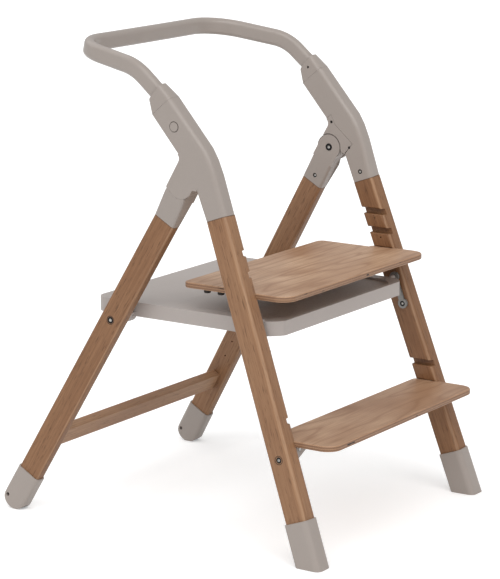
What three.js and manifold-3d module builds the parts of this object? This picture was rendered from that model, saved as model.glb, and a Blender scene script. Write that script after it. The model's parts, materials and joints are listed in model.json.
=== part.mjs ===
// A folding wooden high chair, set up as a stand for a child at a worktop: two A-shaped pairs of
// legs hinged under moulded brackets, a round rail on top, two plywood boards in grooves and a
// moulded platform between them. Millimetres, +Z up. The chair faces -Y and is symmetric about X.
import * as THREE from 'three';
import { mergeVertices } from 'three/addons/utils/BufferGeometryUtils.js';
import Module from 'manifold-3d';

const wasm = await Module();
wasm.setup();
const radians = THREE.MathUtils.degToRad;

// Stance. The fold hinge is where the side view starts, at y = 0.
const hingeHeight = 661;
const bracketSpan = 253.2; // from the chair's middle to the middle of each bracket
const frontLean = radians(19.82);
const frontSplay = radians(2.89);
const rearLean = radians(29.8);
const rearSplay = radians(3.77);
const foldAngle = radians(49);
const frontJointAhead = 77.5; // middle of the front leg's top, ahead of the hinge
const frontJointDrop = 56.7; // and below it
const rearJointDrop = 73.4; // middle of the rear leg's top, below the hinge
const rearJointInset = 1.1; // the rear legs start this much nearer to the middle

// Clearances and helpers' sizes
const seatGap = 0.3; // between pieces that touch
const slideGap = 0.5; // around what slides or turns
const overrun = 2; // how far a cut runs past what it cuts
const blank = 900; // side of the blocks that trim ends
const weld = 0.0001;

// Legs
const frontDepth = 43.2;
const frontWidth = 37.1;
const frontNose = 8.5; // rounding of the two corners in front
const frontHeel = 3.5; // and behind
const rearDepth = 46.8;
const rearWidth = 22.4;
const rearCorner = 5;
const tenonShoulder = 6.5; // plastic wall around each leg's tenon, front and rear
const tenonCheek = 4.2; // and on the sides
const tenonLength = 34;

// Foot caps
const frontFootHeight = 80;
const frontFootWall = 3;
const frontFootSole = 14;
const rearFootHeight = 75;
const rearFootWall = 2.6;
const rearFootSole = 26;
const footHoleRadius = 3.75; // a small hole right through each rear foot cap
const footHoleBehind = 15.5; // behind the leg's middle
const footHoleUp = 21; // and up the leg from the floor
const padWidth = 15;
const padRise = 4.5; // top of the soft pad, above the floor
const padFlat = 0.6; // cut off the pad's round underside, where it stands

// Brackets
const bracketWidth = 36.4;
const bracketNose = 10; // rounding of the corners in front
const bracketHeel = 4;
const armLean = radians(40.6);
const armFrontSide = 83; // front edge of the arm, from the hinge, square to the arm
const armRearSide = 31; // rear edge
const armLength = 131; // hinge to the seam under the rail socket, along the arm
const elbowTopAhead = 52.5; // the front edge bends between these three points
const elbowTopRise = 67;
const elbowMiddleAhead = 64;
const elbowMiddleRise = 47.5;
const elbowLowAhead = 75;
const elbowLowRise = 21;
const crotchAhead = 35.5; // where the two legs part, ahead of the hinge
const crotchDrop = 10; // and below it
const lobeRadius = 31.5; // outer wall around the hinge
const capRadius = 26; // round top of the rear leg's cap
const outerWall = 9.6; // the bracket's wall that covers the cap's tongue
const coverThickness = 3;
const coverLean = radians(48.8); // the cover's long edge leans back by this
const coverSeamSide = 43.5; // from the hinge, square to that edge
const coverSeamTop = 20; // its ends, along it
const coverSeamFoot = -33;
const coverTop = 46; // the cover's upper end, along the arm
const coverTip = 14.6; // and its width there
const coverScrewAlong = 34.4; // upper screw, along the arm
const coverScrewAhead = 36.7;
const coverScrewInset = 10.6; // lower screw, from the long edge
const hipRound = 12; // hollow corner above the lobe
const sweepMargin = radians(1); // the brackets leave room for this much more than the fold
const capLip = 0.8; // the caps stand this far proud of the rear legs' wood, in all

// Rail
const railDepth = 33;
const railWidth = 20;
const railLean = radians(50.2);
const railEntry = 87; // from the shoulder's corner point down into the socket
const railSocketDepth = 24;
const shoulderSpan = bracketSpan - 0.7;
const shoulderBack = 108.8;
const shoulderRise = 200.4;
const shoulderBend = 94;
const cornerSpan = bracketSpan - 31.1;
const cornerBack = 266.7;
const cornerRise = 226.1;
const cornerBend = 81.6;
const railBow = 3.6; // the middle stands this far behind the corners
const railDroop = 1.5; // and this far below them
const railToe = radians(1.24); // the side rails close in by this towards the rear
const ovalShare = 0.96; // how round the tube's narrow sides are
const railSteps = 52;

// Rail sockets
const socketTopDepth = 42;
const socketTopWidth = 27;
const tongueDepth = 30;
const tongueWidth = 12;
const tongueInset = 4.5; // from the bracket's inner face
const tongueLength = 70;

// Release buttons
const buttonAlong = 86.3; // from the hinge, along the arm
const buttonRadius = 9.5;
const buttonHeight = 8;
const buttonProud = 0.6;
const buttonTravel = 4;
const buttonWell = 3; // hollow under the button's top that holds its spring
const springRadius = 4.6;
const springWire = 0.9;
const springTurns = 4;
const springSeat = 4; // depth of the hole under the button that the spring sinks into

// Boards and their grooves
const grooveHeight = 11.8;
const grooveDepth = 8;
const grooveLip = 1.6; // bevel at each groove's mouth
const topGrooveHeight = 538;
const secondGrooveHeight = 501.2;
const seatHeight = 474.5;
const thirdGrooveHeight = 247.6;
const footrestHeight = 219;
const boardThickness = 11;
const boardCorner = 30;
const shoulderCorner = 10;
const seatAhead = 88.2; // front edge, ahead of the leg's middle
const seatShoulder = 31.8; // where it narrows, behind the leg's middle
const seatBehind = 143.8;
const seatSideGap = 4.5;
const footrestAhead = 98.1;
const footrestBehind = 29.9;
const pilotRadius = 1.8; // small holes beside the grooves and down the rear legs
const pilotDepth = 12;
const pilotBelow = 6.5;
const pilotHeights = { upper: 232.6, lower: 200 };

// Fittings under the boards
const knobRadius = 6.5;
const knobHeight = 7;
const knobInset = 14; // from the board's narrow side
const knobBehind = 68; // behind the front leg's middle
const knobPitch = 30;
const knobBevel = 1.5;
const clampWidth = 11;
const clampDepth = 44;
const clampHeight = 26;

// Platform
const platformTop = seatHeight - 53.9;
const platformThickness = 29.4;
const platformSpan = bracketSpan - 24.2;
const platformAhead = 39; // front edge, ahead of the front leg's middle
const platformBehind = 70; // rear edge, behind the pivot
const platformCorner = 26;
const platformPlate = 5;
const platformRim = 5;
const dishInset = 24;
const dishDepth = 5;
const dishRun = 232;
const pivotDrop = 28.6; // rear pivots, below the platform's top
const lugRadius = 12;
const lugWidth = 18;
const lugGap = 0.6;
const cornerPullShare = 0.35; // how square the platform's front corners are
const hookThickness = 5;
const hookRadius = 10;
const hookWaist = 5.5;
const hookLength = 54.7;
const hookDrop = 1.6; // middle of the hook's ring, below the platform's top
const hookForward = 4.5; // the hooks lie this far ahead of the leg's middle
const hookHole = 4.6;

// Crossbar
const crossbarHeight = 145.4;
const crossbarTall = 37.5;
const crossbarThick = 18.5;

// Fasteners: head radius and height, shank radius and length, drive radius and depth
const pivotBolt = { head: 7, cap: 3, shank: 4, length: 26, drive: 2.6, recess: 2 };
const legBolt = { head: 5.5, cap: 3.2, shank: 3, length: 34, drive: 2.4, recess: 2 };
const platformBolt = { head: 6.2, cap: 3, shank: 4, length: 34, drive: 2.4, recess: 2 };
const woodScrew = { head: 4.4, cap: 2.4, shank: 2.2, length: 20, drive: 1.8, recess: 1.4 };
const capScrew = { head: 2.6, cap: 1.6, shank: 1.4, length: 11, drive: 1.1, recess: 0.9 };
const hookScrew = { head: 5.2, cap: 2.4, shank: 2.4, length: 22, drive: 2.2, recess: 1.6 };
const jointScrewRise = 17; // leg screws, above each joint
const footBoltHeight = 188;

// Facets
const roundSides = 10;
const smallSides = 12;
const cornerSteps = 2;
const stepsPerTurn = 8;

const plastic = new THREE.MeshStandardMaterial({ color: 0xa59b94, roughness: 0.5 });
const wood = new THREE.MeshStandardMaterial({ color: 0x9a7256, roughness: 0.55 });
const plywood = new THREE.MeshStandardMaterial({ color: 0xb8967a, roughness: 0.5 });
const steel = new THREE.MeshStandardMaterial({ color: 0x9a9894, roughness: 0.3, metalness: 0.9 });
const rubber = new THREE.MeshStandardMaterial({ color: 0x3b3836, roughness: 0.8 });

const chair = new THREE.Group();

// Solids

function toSolid(geometry) {
  const bare = geometry.clone();
  bare.deleteAttribute('normal');
  bare.deleteAttribute('uv');
  const merged = mergeVertices(bare, weld);
  const positions = merged.attributes.position.array;
  const index = Array.from(merged.index.array);
  const build = (order) => new wasm.Manifold(new wasm.Mesh({
    numProp: 3,
    vertProperties: new Float32Array(positions),
    triVerts: new Uint32Array(order),
  }));
  const body = build(index);
  // A revolved profile drawn the other way round comes out inside out.
  return body.volume() < 0 ? build(index.reverse()) : body;
}

function toGeometry(body, mirrored) {
  const mesh = body.getMesh();
  const geometry = new THREE.BufferGeometry();
  const positions = new Float32Array(mesh.vertProperties);
  const index = new Uint32Array(mesh.triVerts);
  if (mirrored) {
    for (let i = 0; i < positions.length; i += 3) positions[i] = -positions[i];
    for (let i = 0; i < index.length; i += 3) index.subarray(i, i + 3).reverse();
  }
  geometry.setAttribute('position', new THREE.BufferAttribute(positions, 3));
  geometry.setIndex(new THREE.BufferAttribute(index, 1));
  geometry.computeVertexNormals();
  return geometry;
}

function addPiece(name, body, material, mirrored = false) {
  const mesh = new THREE.Mesh(toGeometry(body, mirrored), material);
  mesh.name = name;
  chair.add(mesh);
}

function addPair(name, body, material) {
  addPiece(`${name}_right`, body, material);
  addPiece(`${name}_left`, body, material, true);
}

// Side view: a shape drawn as (y, height above the hinge) and given its width along X.
const sideTurn = new THREE.Matrix4().makeBasis(
  new THREE.Vector3(0, 1, 0),
  new THREE.Vector3(0, 0, 1),
  new THREE.Vector3(1, 0, 0),
);
const sideView = sideTurn.clone().setPosition(0, 0, hingeHeight);

function sidePlate(shape, from, to) {
  const geometry = new THREE.ExtrudeGeometry(shape, {
    depth: to - from,
    bevelEnabled: false,
    curveSegments: roundSides,
  });
  geometry.translate(0, 0, from);
  return toSolid(geometry.applyMatrix4(sideView));
}

function outline(points) {
  return new THREE.Shape(points.map(([across, rise]) => new THREE.Vector2(across, rise)));
}

// A point of the side view, so far along a direction that leans back from straight down, and so
// far to the front of it.
function fromHinge(lean, along, ahead) {
  return [
    along * Math.sin(lean) - ahead * Math.cos(lean),
    -along * Math.cos(lean) - ahead * Math.sin(lean),
  ];
}

function disc(radius, from, to, across = 0, rise = 0) {
  const shape = new THREE.Shape();
  shape.absarc(across, rise, radius, 0, 2 * Math.PI, false);
  return sidePlate(shape, from, to);
}

// A frame on a straight member: local x to the outside, y to the front and z down along it.
function memberFrame(top, foot) {
  const down = new THREE.Vector3().subVectors(foot, top).normalize();
  const outward = new THREE.Vector3(1, 0, 0).addScaledVector(down, -down.x).normalize();
  const forward = new THREE.Vector3().crossVectors(down, outward);
  return new THREE.Matrix4().makeBasis(outward, forward, down).setPosition(top);
}

function roundedSection(width, depth, nose, heel) {
  const side = width / 2;
  const front = depth / 2;
  const shape = new THREE.Shape();
  shape.moveTo(side - heel, -front);
  shape.absarc(side - heel, -front + heel, heel, -Math.PI / 2, 0, false);
  shape.absarc(side - nose, front - nose, nose, 0, Math.PI / 2, false);
  shape.absarc(-side + nose, front - nose, nose, Math.PI / 2, Math.PI, false);
  shape.absarc(-side + heel, -front + heel, heel, Math.PI, 1.5 * Math.PI, false);
  return shape;
}

function prism(frame, section, from, to) {
  const geometry = new THREE.ExtrudeGeometry(section, {
    depth: to - from,
    bevelEnabled: false,
    curveSegments: cornerSteps,
  });
  geometry.translate(0, 0, from);
  return toSolid(geometry.applyMatrix4(frame));
}

function block(x0, x1, y0, y1, z0, z1) {
  const geometry = new THREE.BoxGeometry(x1 - x0, y1 - y0, z1 - z0);
  geometry.translate((x0 + x1) / 2, (y0 + y1) / 2, (z0 + z1) / 2);
  return toSolid(geometry);
}

function below(height) {
  return block(-blank, blank, -blank, blank, height - blank, height);
}

function above(height) {
  return block(-blank, blank, -blank, blank, height, height + blank);
}

// Everything past a plane square to a member, and everything past its inner face.
function memberTrim(frame, from) {
  const geometry = new THREE.BoxGeometry(blank, blank, blank).translate(0, 0, from + blank / 2);
  return toSolid(geometry.applyMatrix4(frame));
}

function innerFaceTrim(frame, width, length) {
  const geometry = new THREE.BoxGeometry(blank, blank, blank);
  geometry.translate(blank / 2 - width / 2 - seatGap, 0, length / 2);
  return toSolid(geometry.applyMatrix4(frame));
}

// A shell through rounded rectangles: each station has its front and rear edge in the side view,
// its middle across and its width.
function stationRing(station) {
  const [frontY, frontRise] = station.front;
  const [rearY, rearRise] = station.rear;
  const depth = Math.hypot(frontY - rearY, frontRise - rearRise);
  const section = roundedSection(station.width, depth, station.nose, station.heel);
  return section.getPoints(cornerSteps).map((point) => {
    const share = point.y / depth + 1 / 2;
    return new THREE.Vector3(
      station.middle + point.x,
      rearY + (frontY - rearY) * share,
      hingeHeight + rearRise + (frontRise - rearRise) * share,
    );
  });
}

function loft(stations) {
  const rings = stations.map(stationRing);
  const count = rings[0].length;
  const positions = rings.flat().flatMap((point) => [point.x, point.y, point.z]);
  const index = [];
  for (let ring = 0; ring + 1 < rings.length; ring += 1) {
    for (let i = 0; i < count; i += 1) {
      const next = (i + 1) % count;
      const low = ring * count;
      const high = low + count;
      index.push(low + i, low + next, high + next, low + i, high + next, high + i);
    }
  }
  const last = (rings.length - 1) * count;
  for (let i = 1; i + 1 < count; i += 1) {
    index.push(0, i + 1, i);
    index.push(last, last + i, last + i + 1);
  }
  const geometry = new THREE.BufferGeometry();
  geometry.setAttribute('position', new THREE.Float32BufferAttribute(positions, 3));
  geometry.setIndex(index);
  return toSolid(geometry);
}

// Fasteners stand on local z, with the face they are driven into at z = 0.
function fastener(frame, size, gap = 0) {
  const sides = size.head > pivotBolt.shank ? smallSides : smallSides / 2;
  const top = gap > 0 ? overrun : 0;
  const points = [
    [0, -size.length - gap],
    [size.shank + gap, -size.length - gap],
    [size.shank + gap, -size.cap - gap],
    [size.head + gap, -size.cap - gap],
    [size.head + gap, top],
  ];
  if (gap > 0) {
    points.push([0, top]);
  } else {
    points.push([size.drive, 0], [size.drive, -size.recess], [0, -size.recess]);
  }
  const profile = points.map(([radius, height]) => new THREE.Vector2(radius, height));
  const geometry = new THREE.LatheGeometry(profile, sides).rotateX(Math.PI / 2);
  return toSolid(geometry.applyMatrix4(frame));
}

function facing(point, outward) {
  const turn = new THREE.Quaternion().setFromUnitVectors(new THREE.Vector3(0, 0, 1), outward);
  return new THREE.Matrix4().compose(point, turn, new THREE.Vector3(1, 1, 1));
}

// Straight members of the right-hand side

const frontTop = new THREE.Vector3(bracketSpan, -frontJointAhead, hingeHeight - frontJointDrop);
const rearTop = new THREE.Vector3(
  bracketSpan - rearJointInset,
  rearJointDrop * Math.tan(rearLean),
  hingeHeight - rearJointDrop,
);

function axisPoint(top, lean, splay, height) {
  const drop = top.z - height;
  const along = lean === frontLean ? -Math.tan(lean) : Math.tan(lean);
  return new THREE.Vector3(top.x + drop * Math.tan(splay), top.y + drop * along, height);
}

const frontAxis = (height) => axisPoint(frontTop, frontLean, frontSplay, height);
const rearAxis = (height) => axisPoint(rearTop, rearLean, rearSplay, height);
const frontFrame = memberFrame(frontTop, frontAxis(0));
const rearFrame = memberFrame(rearTop, rearAxis(0));
const frontOutward = new THREE.Vector3().setFromMatrixColumn(frontFrame, 0);
const frontForward = new THREE.Vector3().setFromMatrixColumn(frontFrame, 1);
const rearOutward = new THREE.Vector3().setFromMatrixColumn(rearFrame, 0);
const frontDown = new THREE.Vector3().setFromMatrixColumn(frontFrame, 2);
const rearDown = new THREE.Vector3().setFromMatrixColumn(rearFrame, 2);
const frontInner = (height) => frontAxis(height).x - frontWidth / 2 / frontOutward.x;
const rearInner = (height) => rearAxis(height).x - rearWidth / 2 / rearOutward.x;
const alongFront = (height) => (height - frontTop.z) / frontDown.z;
const alongRear = (height) => (height - rearTop.z) / rearDown.z;

const bracketInner = bracketSpan - bracketWidth / 2;
const bracketOuter = bracketSpan + bracketWidth / 2;
const tongueOuter = bracketOuter - outerWall - slideGap;

// Places of the fasteners
const xOutward = new THREE.Vector3(1, 0, 0);
const xInward = new THREE.Vector3(-1, 0, 0);

function onFrontLeg(along, side) {
  return new THREE.Vector3(side * frontWidth / 2, 0, along).applyMatrix4(frontFrame);
}

function onRearLeg(along, side) {
  return new THREE.Vector3(side * rearWidth / 2, 0, along).applyMatrix4(rearFrame);
}

const pivotPlace = facing(new THREE.Vector3(bracketInner, 0, hingeHeight), xInward);
const frontJointScrew = facing(onFrontLeg(-jointScrewRise, -1).setX(bracketInner), xInward);
const rearJointScrew = facing(onRearLeg(-jointScrewRise, -1), rearOutward.clone().negate());
const platformPivot = rearAxis(platformTop - pivotDrop);
const platformBoltPlace = facing(
  platformPivot.clone().addScaledVector(xOutward, rearWidth / 2 / rearOutward.x),
  xOutward,
);
const footBoltPlace = facing(onFrontLeg(alongFront(footBoltHeight), 1), frontOutward);

// Front legs

const frontSection = roundedSection(frontWidth, frontDepth, frontNose, frontHeel);
const frontSectionCut = roundedSection(
  frontWidth + 2 * seatGap,
  frontDepth + 2 * seatGap,
  frontNose + seatGap,
  frontHeel + seatGap,
);
const frontLegEnd = alongFront(0) + frontDepth;
const frontTenon = (gap) => roundedSection(
  frontWidth - 2 * tenonCheek + 2 * gap,
  frontDepth - 2 * tenonShoulder + 2 * gap,
  frontHeel,
  frontHeel,
);

function groove(height) {
  const face = frontInner(height);
  const bottom = face + grooveDepth;
  const flare = grooveLip + overrun;
  const shape = outline([
    [bottom, height],
    [bottom, height + grooveHeight],
    [face + grooveLip, height + grooveHeight],
    [face - overrun, height + grooveHeight + flare],
    [face - overrun, height - flare],
    [face + grooveLip, height],
  ]);
  const geometry = new THREE.ExtrudeGeometry(shape, { depth: 2 * frontDepth, bevelEnabled: false });
  geometry.rotateX(Math.PI / 2).translate(0, frontAxis(height).y + frontDepth, 0);
  return toSolid(geometry);
}

const boardGap = grooveHeight - boardThickness;
const seatGrooveHeight = seatHeight - boardThickness - boardGap / 2;
const footrestGrooveHeight = footrestHeight - boardThickness - boardGap / 2;
const grooveHeights = [
  topGrooveHeight,
  secondGrooveHeight,
  seatGrooveHeight,
  thirdGrooveHeight,
  footrestGrooveHeight,
];

function pilot(point, outward) {
  const geometry = new THREE.CylinderGeometry(
    pilotRadius,
    pilotRadius,
    pilotDepth + overrun,
    smallSides / 2,
  );
  geometry.rotateX(Math.PI / 2).translate(0, 0, (overrun - pilotDepth) / 2);
  return toSolid(geometry.applyMatrix4(facing(point, outward)));
}

const hookAlong = alongFront(platformTop - hookDrop);
const hookFace = -frontWidth / 2 - seatGap - hookThickness;
const hookScrewPlace = facing(
  new THREE.Vector3(hookFace, hookForward, hookAlong + hookLength).applyMatrix4(frontFrame),
  frontOutward.clone().negate(),
);

function frontLeg() {
  let body = prism(frontFrame, frontSection, 0, frontLegEnd);
  body = body.add(prism(frontFrame, frontTenon(0), -tenonLength, overrun));
  body = body.subtract(below(frontFootSole + seatGap));
  for (const height of grooveHeights) body = body.subtract(groove(height));
  for (const height of [topGrooveHeight, secondGrooveHeight]) {
    const point = onFrontLeg(alongFront(height - pilotBelow), -1);
    body = body.subtract(pilot(point, frontOutward.clone().negate()));
  }
  body = body.subtract(fastener(frontJointScrew, woodScrew, seatGap));
  body = body.subtract(fastener(footBoltPlace, legBolt, seatGap));
  return body.subtract(fastener(hookScrewPlace, hookScrew, seatGap));
}

addPair('front_leg', frontLeg(), wood);

// Front foot caps

function frontFoot() {
  const rim = alongFront(frontFootHeight);
  const outer = roundedSection(
    frontWidth + 2 * frontFootWall,
    frontDepth + 2 * frontFootWall,
    frontNose + frontFootWall,
    frontHeel + frontFootWall,
  );
  const shell = prism(frontFrame, outer, rim, frontLegEnd).subtract(below(0));
  const hollow = prism(frontFrame, frontSectionCut, rim - overrun, frontLegEnd);
  return shell.subtract(hollow.subtract(below(frontFootSole)));
}

addPair('front_foot_cap', frontFoot(), plastic);

// Rear legs

const rearFootRadius = rearDepth / 2 + rearFootWall;
const rearFootWidth = rearWidth + 2 * rearFootWall;
const rearTilt = Math.abs(rearOutward.z);
const rearFootReach = rearFootRadius * Math.sqrt(1 - rearTilt ** 2) + padWidth / 2 * rearTilt;
const rearFootCentre = rearFootReach - padFlat;
const rearSection = roundedSection(rearWidth, rearDepth, rearCorner, rearCorner);
const rearSectionCut = roundedSection(
  rearWidth + 2 * seatGap,
  rearDepth + 2 * seatGap,
  rearCorner + seatGap,
  rearCorner + seatGap,
);
const rearLegEnd = alongRear(rearFootSole);
const rearTenon = (gap) => roundedSection(
  rearWidth - 2 * tenonCheek + 2 * gap,
  rearDepth - 2 * tenonShoulder + 2 * gap,
  rearCorner / 2,
  rearCorner / 2,
);

function rearLeg() {
  let body = prism(rearFrame, rearSection, 0, rearLegEnd - seatGap);
  body = body.add(prism(rearFrame, rearTenon(0), -tenonLength, overrun));
  for (const height of Object.values(pilotHeights)) {
    const point = onRearLeg(alongRear(height), -1);
    body = body.subtract(pilot(point, rearOutward.clone().negate()));
  }
  body = body.subtract(fastener(rearJointScrew, woodScrew, seatGap));
  return body.subtract(fastener(platformBoltPlace, platformBolt, seatGap));
}

addPair('rear_leg', rearLeg(), wood);

// Rear foot caps: a cup with a round end, and a soft pad let into it where it meets the floor

const footSideView = new THREE.Matrix4().multiplyMatrices(rearFrame, sideTurn);
const rearFootAlong = alongRear(rearFootCentre);

function footPlate(radius, from, to, start) {
  const shape = new THREE.Shape();
  shape.moveTo(-radius, start);
  shape.lineTo(radius, start);
  shape.lineTo(radius, rearFootAlong);
  shape.absarc(0, rearFootAlong, radius, 0, Math.PI, false);
  const geometry = new THREE.ExtrudeGeometry(shape, {
    depth: to - from,
    bevelEnabled: false,
    curveSegments: roundSides,
  });
  geometry.translate(0, 0, from);
  return toSolid(geometry.applyMatrix4(footSideView));
}

function rearFoot() {
  const rim = alongRear(rearFootHeight);
  const half = rearFootWidth / 2;
  const nose = rearCorner + rearFootWall;
  const outer = roundedSection(rearFootWidth, 2 * rearFootRadius, nose, nose);
  const body = footPlate(rearFootRadius, -half, half, rim);
  const sleeve = prism(rearFrame, outer, rim, rearFootAlong + rearFootRadius + overrun);
  const hollow = prism(rearFrame, rearSectionCut, rim - overrun, rearLegEnd);
  const padCut = footPlate(
    rearFootRadius + overrun,
    -padWidth / 2 - seatGap,
    padWidth / 2 + seatGap,
    rim,
  ).subtract(above(padRise + seatGap));
  const ring = new THREE.Shape();
  ring.absarc(-footHoleBehind, alongRear(0) - footHoleUp, footHoleRadius, 0, 2 * Math.PI, false);
  const bore = new THREE.ExtrudeGeometry(ring, {
    depth: rearFootWidth + 2 * overrun,
    bevelEnabled: false,
    curveSegments: smallSides,
  });
  const through = toSolid(bore.translate(0, 0, -half - overrun).applyMatrix4(footSideView));
  const cup = body.intersect(sleeve).subtract(hollow).subtract(padCut);
  return cup.subtract(through).subtract(below(seatGap));
}

function rearPad() {
  const body = footPlate(rearFootRadius, -padWidth / 2, padWidth / 2, alongRear(rearFootHeight));
  return body.subtract(above(padRise)).subtract(below(0));
}

addPair('rear_foot_cap', rearFoot(), plastic);
addPair('rear_foot_pad', rearPad(), rubber);

// Crossbar between the rear legs

function crossbar() {
  const centre = rearAxis(crossbarHeight);
  const shape = outline([
    [-crossbarThick / 2, -crossbarTall / 2],
    [crossbarThick / 2, -crossbarTall / 2],
    [crossbarThick / 2, crossbarTall / 2],
    [-crossbarThick / 2, crossbarTall / 2],
  ]);
  const length = 2 * centre.x;
  const geometry = new THREE.ExtrudeGeometry(shape, { depth: length, bevelEnabled: false });
  const place = new THREE.Matrix4().makeBasis(
    new THREE.Vector3(0, Math.cos(rearLean), Math.sin(rearLean)),
    new THREE.Vector3(0, -Math.sin(rearLean), Math.cos(rearLean)),
    new THREE.Vector3(1, 0, 0),
  ).setPosition(-centre.x, centre.y, centre.z);
  const bar = toSolid(geometry.applyMatrix4(place));
  const trim = innerFaceTrim(rearFrame, rearWidth, rearLegEnd);
  const otherTrim = toSolid(toGeometry(trim, true));
  return bar.subtract(trim).subtract(otherTrim);
}

addPiece('crossbar', crossbar(), wood);

// Caps on top of the rear legs, whose tongues turn inside the brackets

const rearHalf = rearDepth / 2;

function rearCap() {
  const jointAlong = rearJointDrop / Math.cos(rearLean);
  const station = (along, middle, width) => ({
    front: fromHinge(rearLean, along, rearHalf),
    rear: fromHinge(rearLean, along, -rearHalf),
    middle,
    width,
    nose: rearCorner,
    heel: rearCorner,
  });
  const shellWidth = bracketWidth - seatGap;
  let body = loft([
    station(0, bracketSpan, shellWidth),
    station(lobeRadius, bracketSpan, shellWidth),
    station(jointAlong + overrun, rearTop.x, rearWidth + capLip),
  ]);
  body = body.subtract(memberTrim(rearFrame, -seatGap));
  body = body.subtract(disc(lobeRadius + slideGap, tongueOuter, bracketOuter + overrun));
  const tongue = outline([
    fromHinge(rearLean, 0, rearHalf),
    fromHinge(rearLean, lobeRadius, rearHalf),
    fromHinge(rearLean, lobeRadius, -rearHalf),
    fromHinge(rearLean, 0, -rearHalf),
  ]);
  body = body.add(sidePlate(tongue, bracketInner + seatGap, tongueOuter));
  body = body.add(disc(capRadius, bracketInner + seatGap, tongueOuter));
  body = body.subtract(prism(rearFrame, rearTenon(seatGap), -tenonLength - seatGap, overrun));
  body = body.subtract(fastener(rearJointScrew, woodScrew, seatGap));
  return body.subtract(fastener(pivotPlace, pivotBolt, slideGap));
}

addPair('rear_leg_cap', rearCap(), plastic);
addPair('rear_cap_screw', fastener(rearJointScrew, woodScrew), steel);
addPair('hinge_bolt', fastener(pivotPlace, pivotBolt), steel);

// Brackets

const armUp = [Math.sin(armLean), Math.cos(armLean)];
const onArm = (along, ahead) => [
  along * armUp[0] - ahead * armUp[1],
  along * armUp[1] + ahead * armUp[0],
];
const onSeam = (along, ahead) => [
  along * Math.sin(coverLean) - ahead * Math.cos(coverLean),
  along * Math.cos(coverLean) + ahead * Math.sin(coverLean),
];
const armMiddle = (armFrontSide + armRearSide) / 2;
const crotch = [-crotchAhead, -crotchDrop];
const frontJoint = (side, past) => [
  -frontJointAhead - side * frontDepth / 2 * Math.cos(frontLean) - past * Math.sin(frontLean),
  -frontJointDrop + side * frontDepth / 2 * Math.sin(frontLean) - past * Math.cos(frontLean),
];
// The hip is where the arm's rear edge meets the rear leg's rear edge.
const spread = armLean + rearLean;
const hipAlong = (rearHalf + armRearSide * Math.cos(spread)) / Math.sin(spread);
const hip = onArm(hipAlong, armRearSide);
const hipReach = hipRound * Math.tan(spread / 2);
const hipTop = onArm(hipAlong + hipReach, armRearSide);
const hipFoot = [
  hip[0] + hipReach * Math.sin(rearLean),
  hip[1] - hipReach * Math.cos(rearLean),
];
const foldedLean = rearLean - foldAngle;
const sweepLean = foldedLean - sweepMargin;

function onLobe(lean, ahead) {
  return fromHinge(lean, Math.sqrt(lobeRadius ** 2 - ahead ** 2), ahead);
}

function hipPlate() {
  const rear = onLobe(rearLean, -rearHalf);
  const front = onLobe(sweepLean, rearHalf + slideGap);
  const shape = new THREE.Shape();
  shape.moveTo(...hipTop);
  shape.quadraticCurveTo(...hip, ...hipFoot);
  shape.lineTo(...rear);
  shape.absarc(0, 0, lobeRadius, Math.atan2(rear[1], rear[0]), Math.atan2(front[1], front[0]), true);
  shape.lineTo(...crotch);
  shape.lineTo(...onArm(0, armMiddle));
  shape.lineTo(...onArm(hipAlong + hipReach, armMiddle));
  return sidePlate(shape, bracketInner, bracketOuter);
}

// Where the rear leg's cap passes as it folds
function capSweep(from, to) {
  const reach = 2 * lobeRadius;
  return sidePlate(outline([
    fromHinge(sweepLean, 0, rearHalf + slideGap),
    fromHinge(sweepLean, reach, rearHalf + slideGap),
    fromHinge(rearLean, reach, -rearHalf - slideGap),
    fromHinge(rearLean, 0, -rearHalf - slideGap),
  ]), from, to);
}

function tonguePocket() {
  const inner = bracketInner - overrun;
  const outer = bracketOuter - outerWall;
  return capSweep(inner, outer).add(disc(capRadius + slideGap, inner, outer));
}

function coverShape(gap, reach) {
  const radius = capRadius + slideGap + seatGap - gap;
  const rearAlong = -Math.sqrt(radius ** 2 - rearHalf ** 2);
  const rear = fromHinge(rearLean, rearAlong, -rearHalf);
  const shape = new THREE.Shape();
  shape.moveTo(...onArm(coverTop + gap, armRearSide - reach));
  shape.lineTo(...onArm(coverTop + gap, armRearSide + coverTip + gap));
  shape.lineTo(...onSeam(coverSeamTop, coverSeamSide + gap));
  shape.lineTo(...onSeam(coverSeamFoot - gap, coverSeamSide + gap));
  shape.lineTo(crotch[0] - gap, crotch[1] - reach);
  const first = Math.atan2(crotch[1], crotch[0]) + 2 * Math.PI;
  shape.absarc(0, 0, radius, first, Math.atan2(rear[1], rear[0]), true);
  shape.lineTo(...fromHinge(rearLean, rearAlong, -rearHalf - reach));
  if (reach > 0) {
    shape.lineTo(hip[0] + hipReach, hip[1]);
  } else {
    shape.lineTo(...hipFoot);
    shape.quadraticCurveTo(...hip, ...hipTop);
  }
  return shape;
}

function sideFacing([across, rise], x, outward) {
  return facing(new THREE.Vector3(x, across, hingeHeight + rise), outward);
}

const coverScrewPlaces = [
  sideFacing(onArm(coverScrewAlong, coverScrewAhead), bracketInner, xInward),
  sideFacing(onSeam(coverSeamFoot, coverSeamSide - coverScrewInset), bracketInner, xInward),
];
const buttonFace = bracketOuter + buttonProud;
const buttonPlace = sideFacing(onArm(buttonAlong, armMiddle), buttonFace, xOutward);
const tongueInner = bracketInner + tongueInset;

function armPlate(from, to, depth, x0, x1) {
  return sidePlate(outline([
    onArm(from, armMiddle - depth / 2),
    onArm(to, armMiddle - depth / 2),
    onArm(to, armMiddle + depth / 2),
    onArm(from, armMiddle + depth / 2),
  ]), x0, x1);
}

function turned(profile, frame, sides) {
  const points = profile.map(([radius, height]) => new THREE.Vector2(radius, height));
  const geometry = new THREE.LatheGeometry(points, sides).rotateX(Math.PI / 2);
  return toSolid(geometry.applyMatrix4(frame));
}

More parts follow.
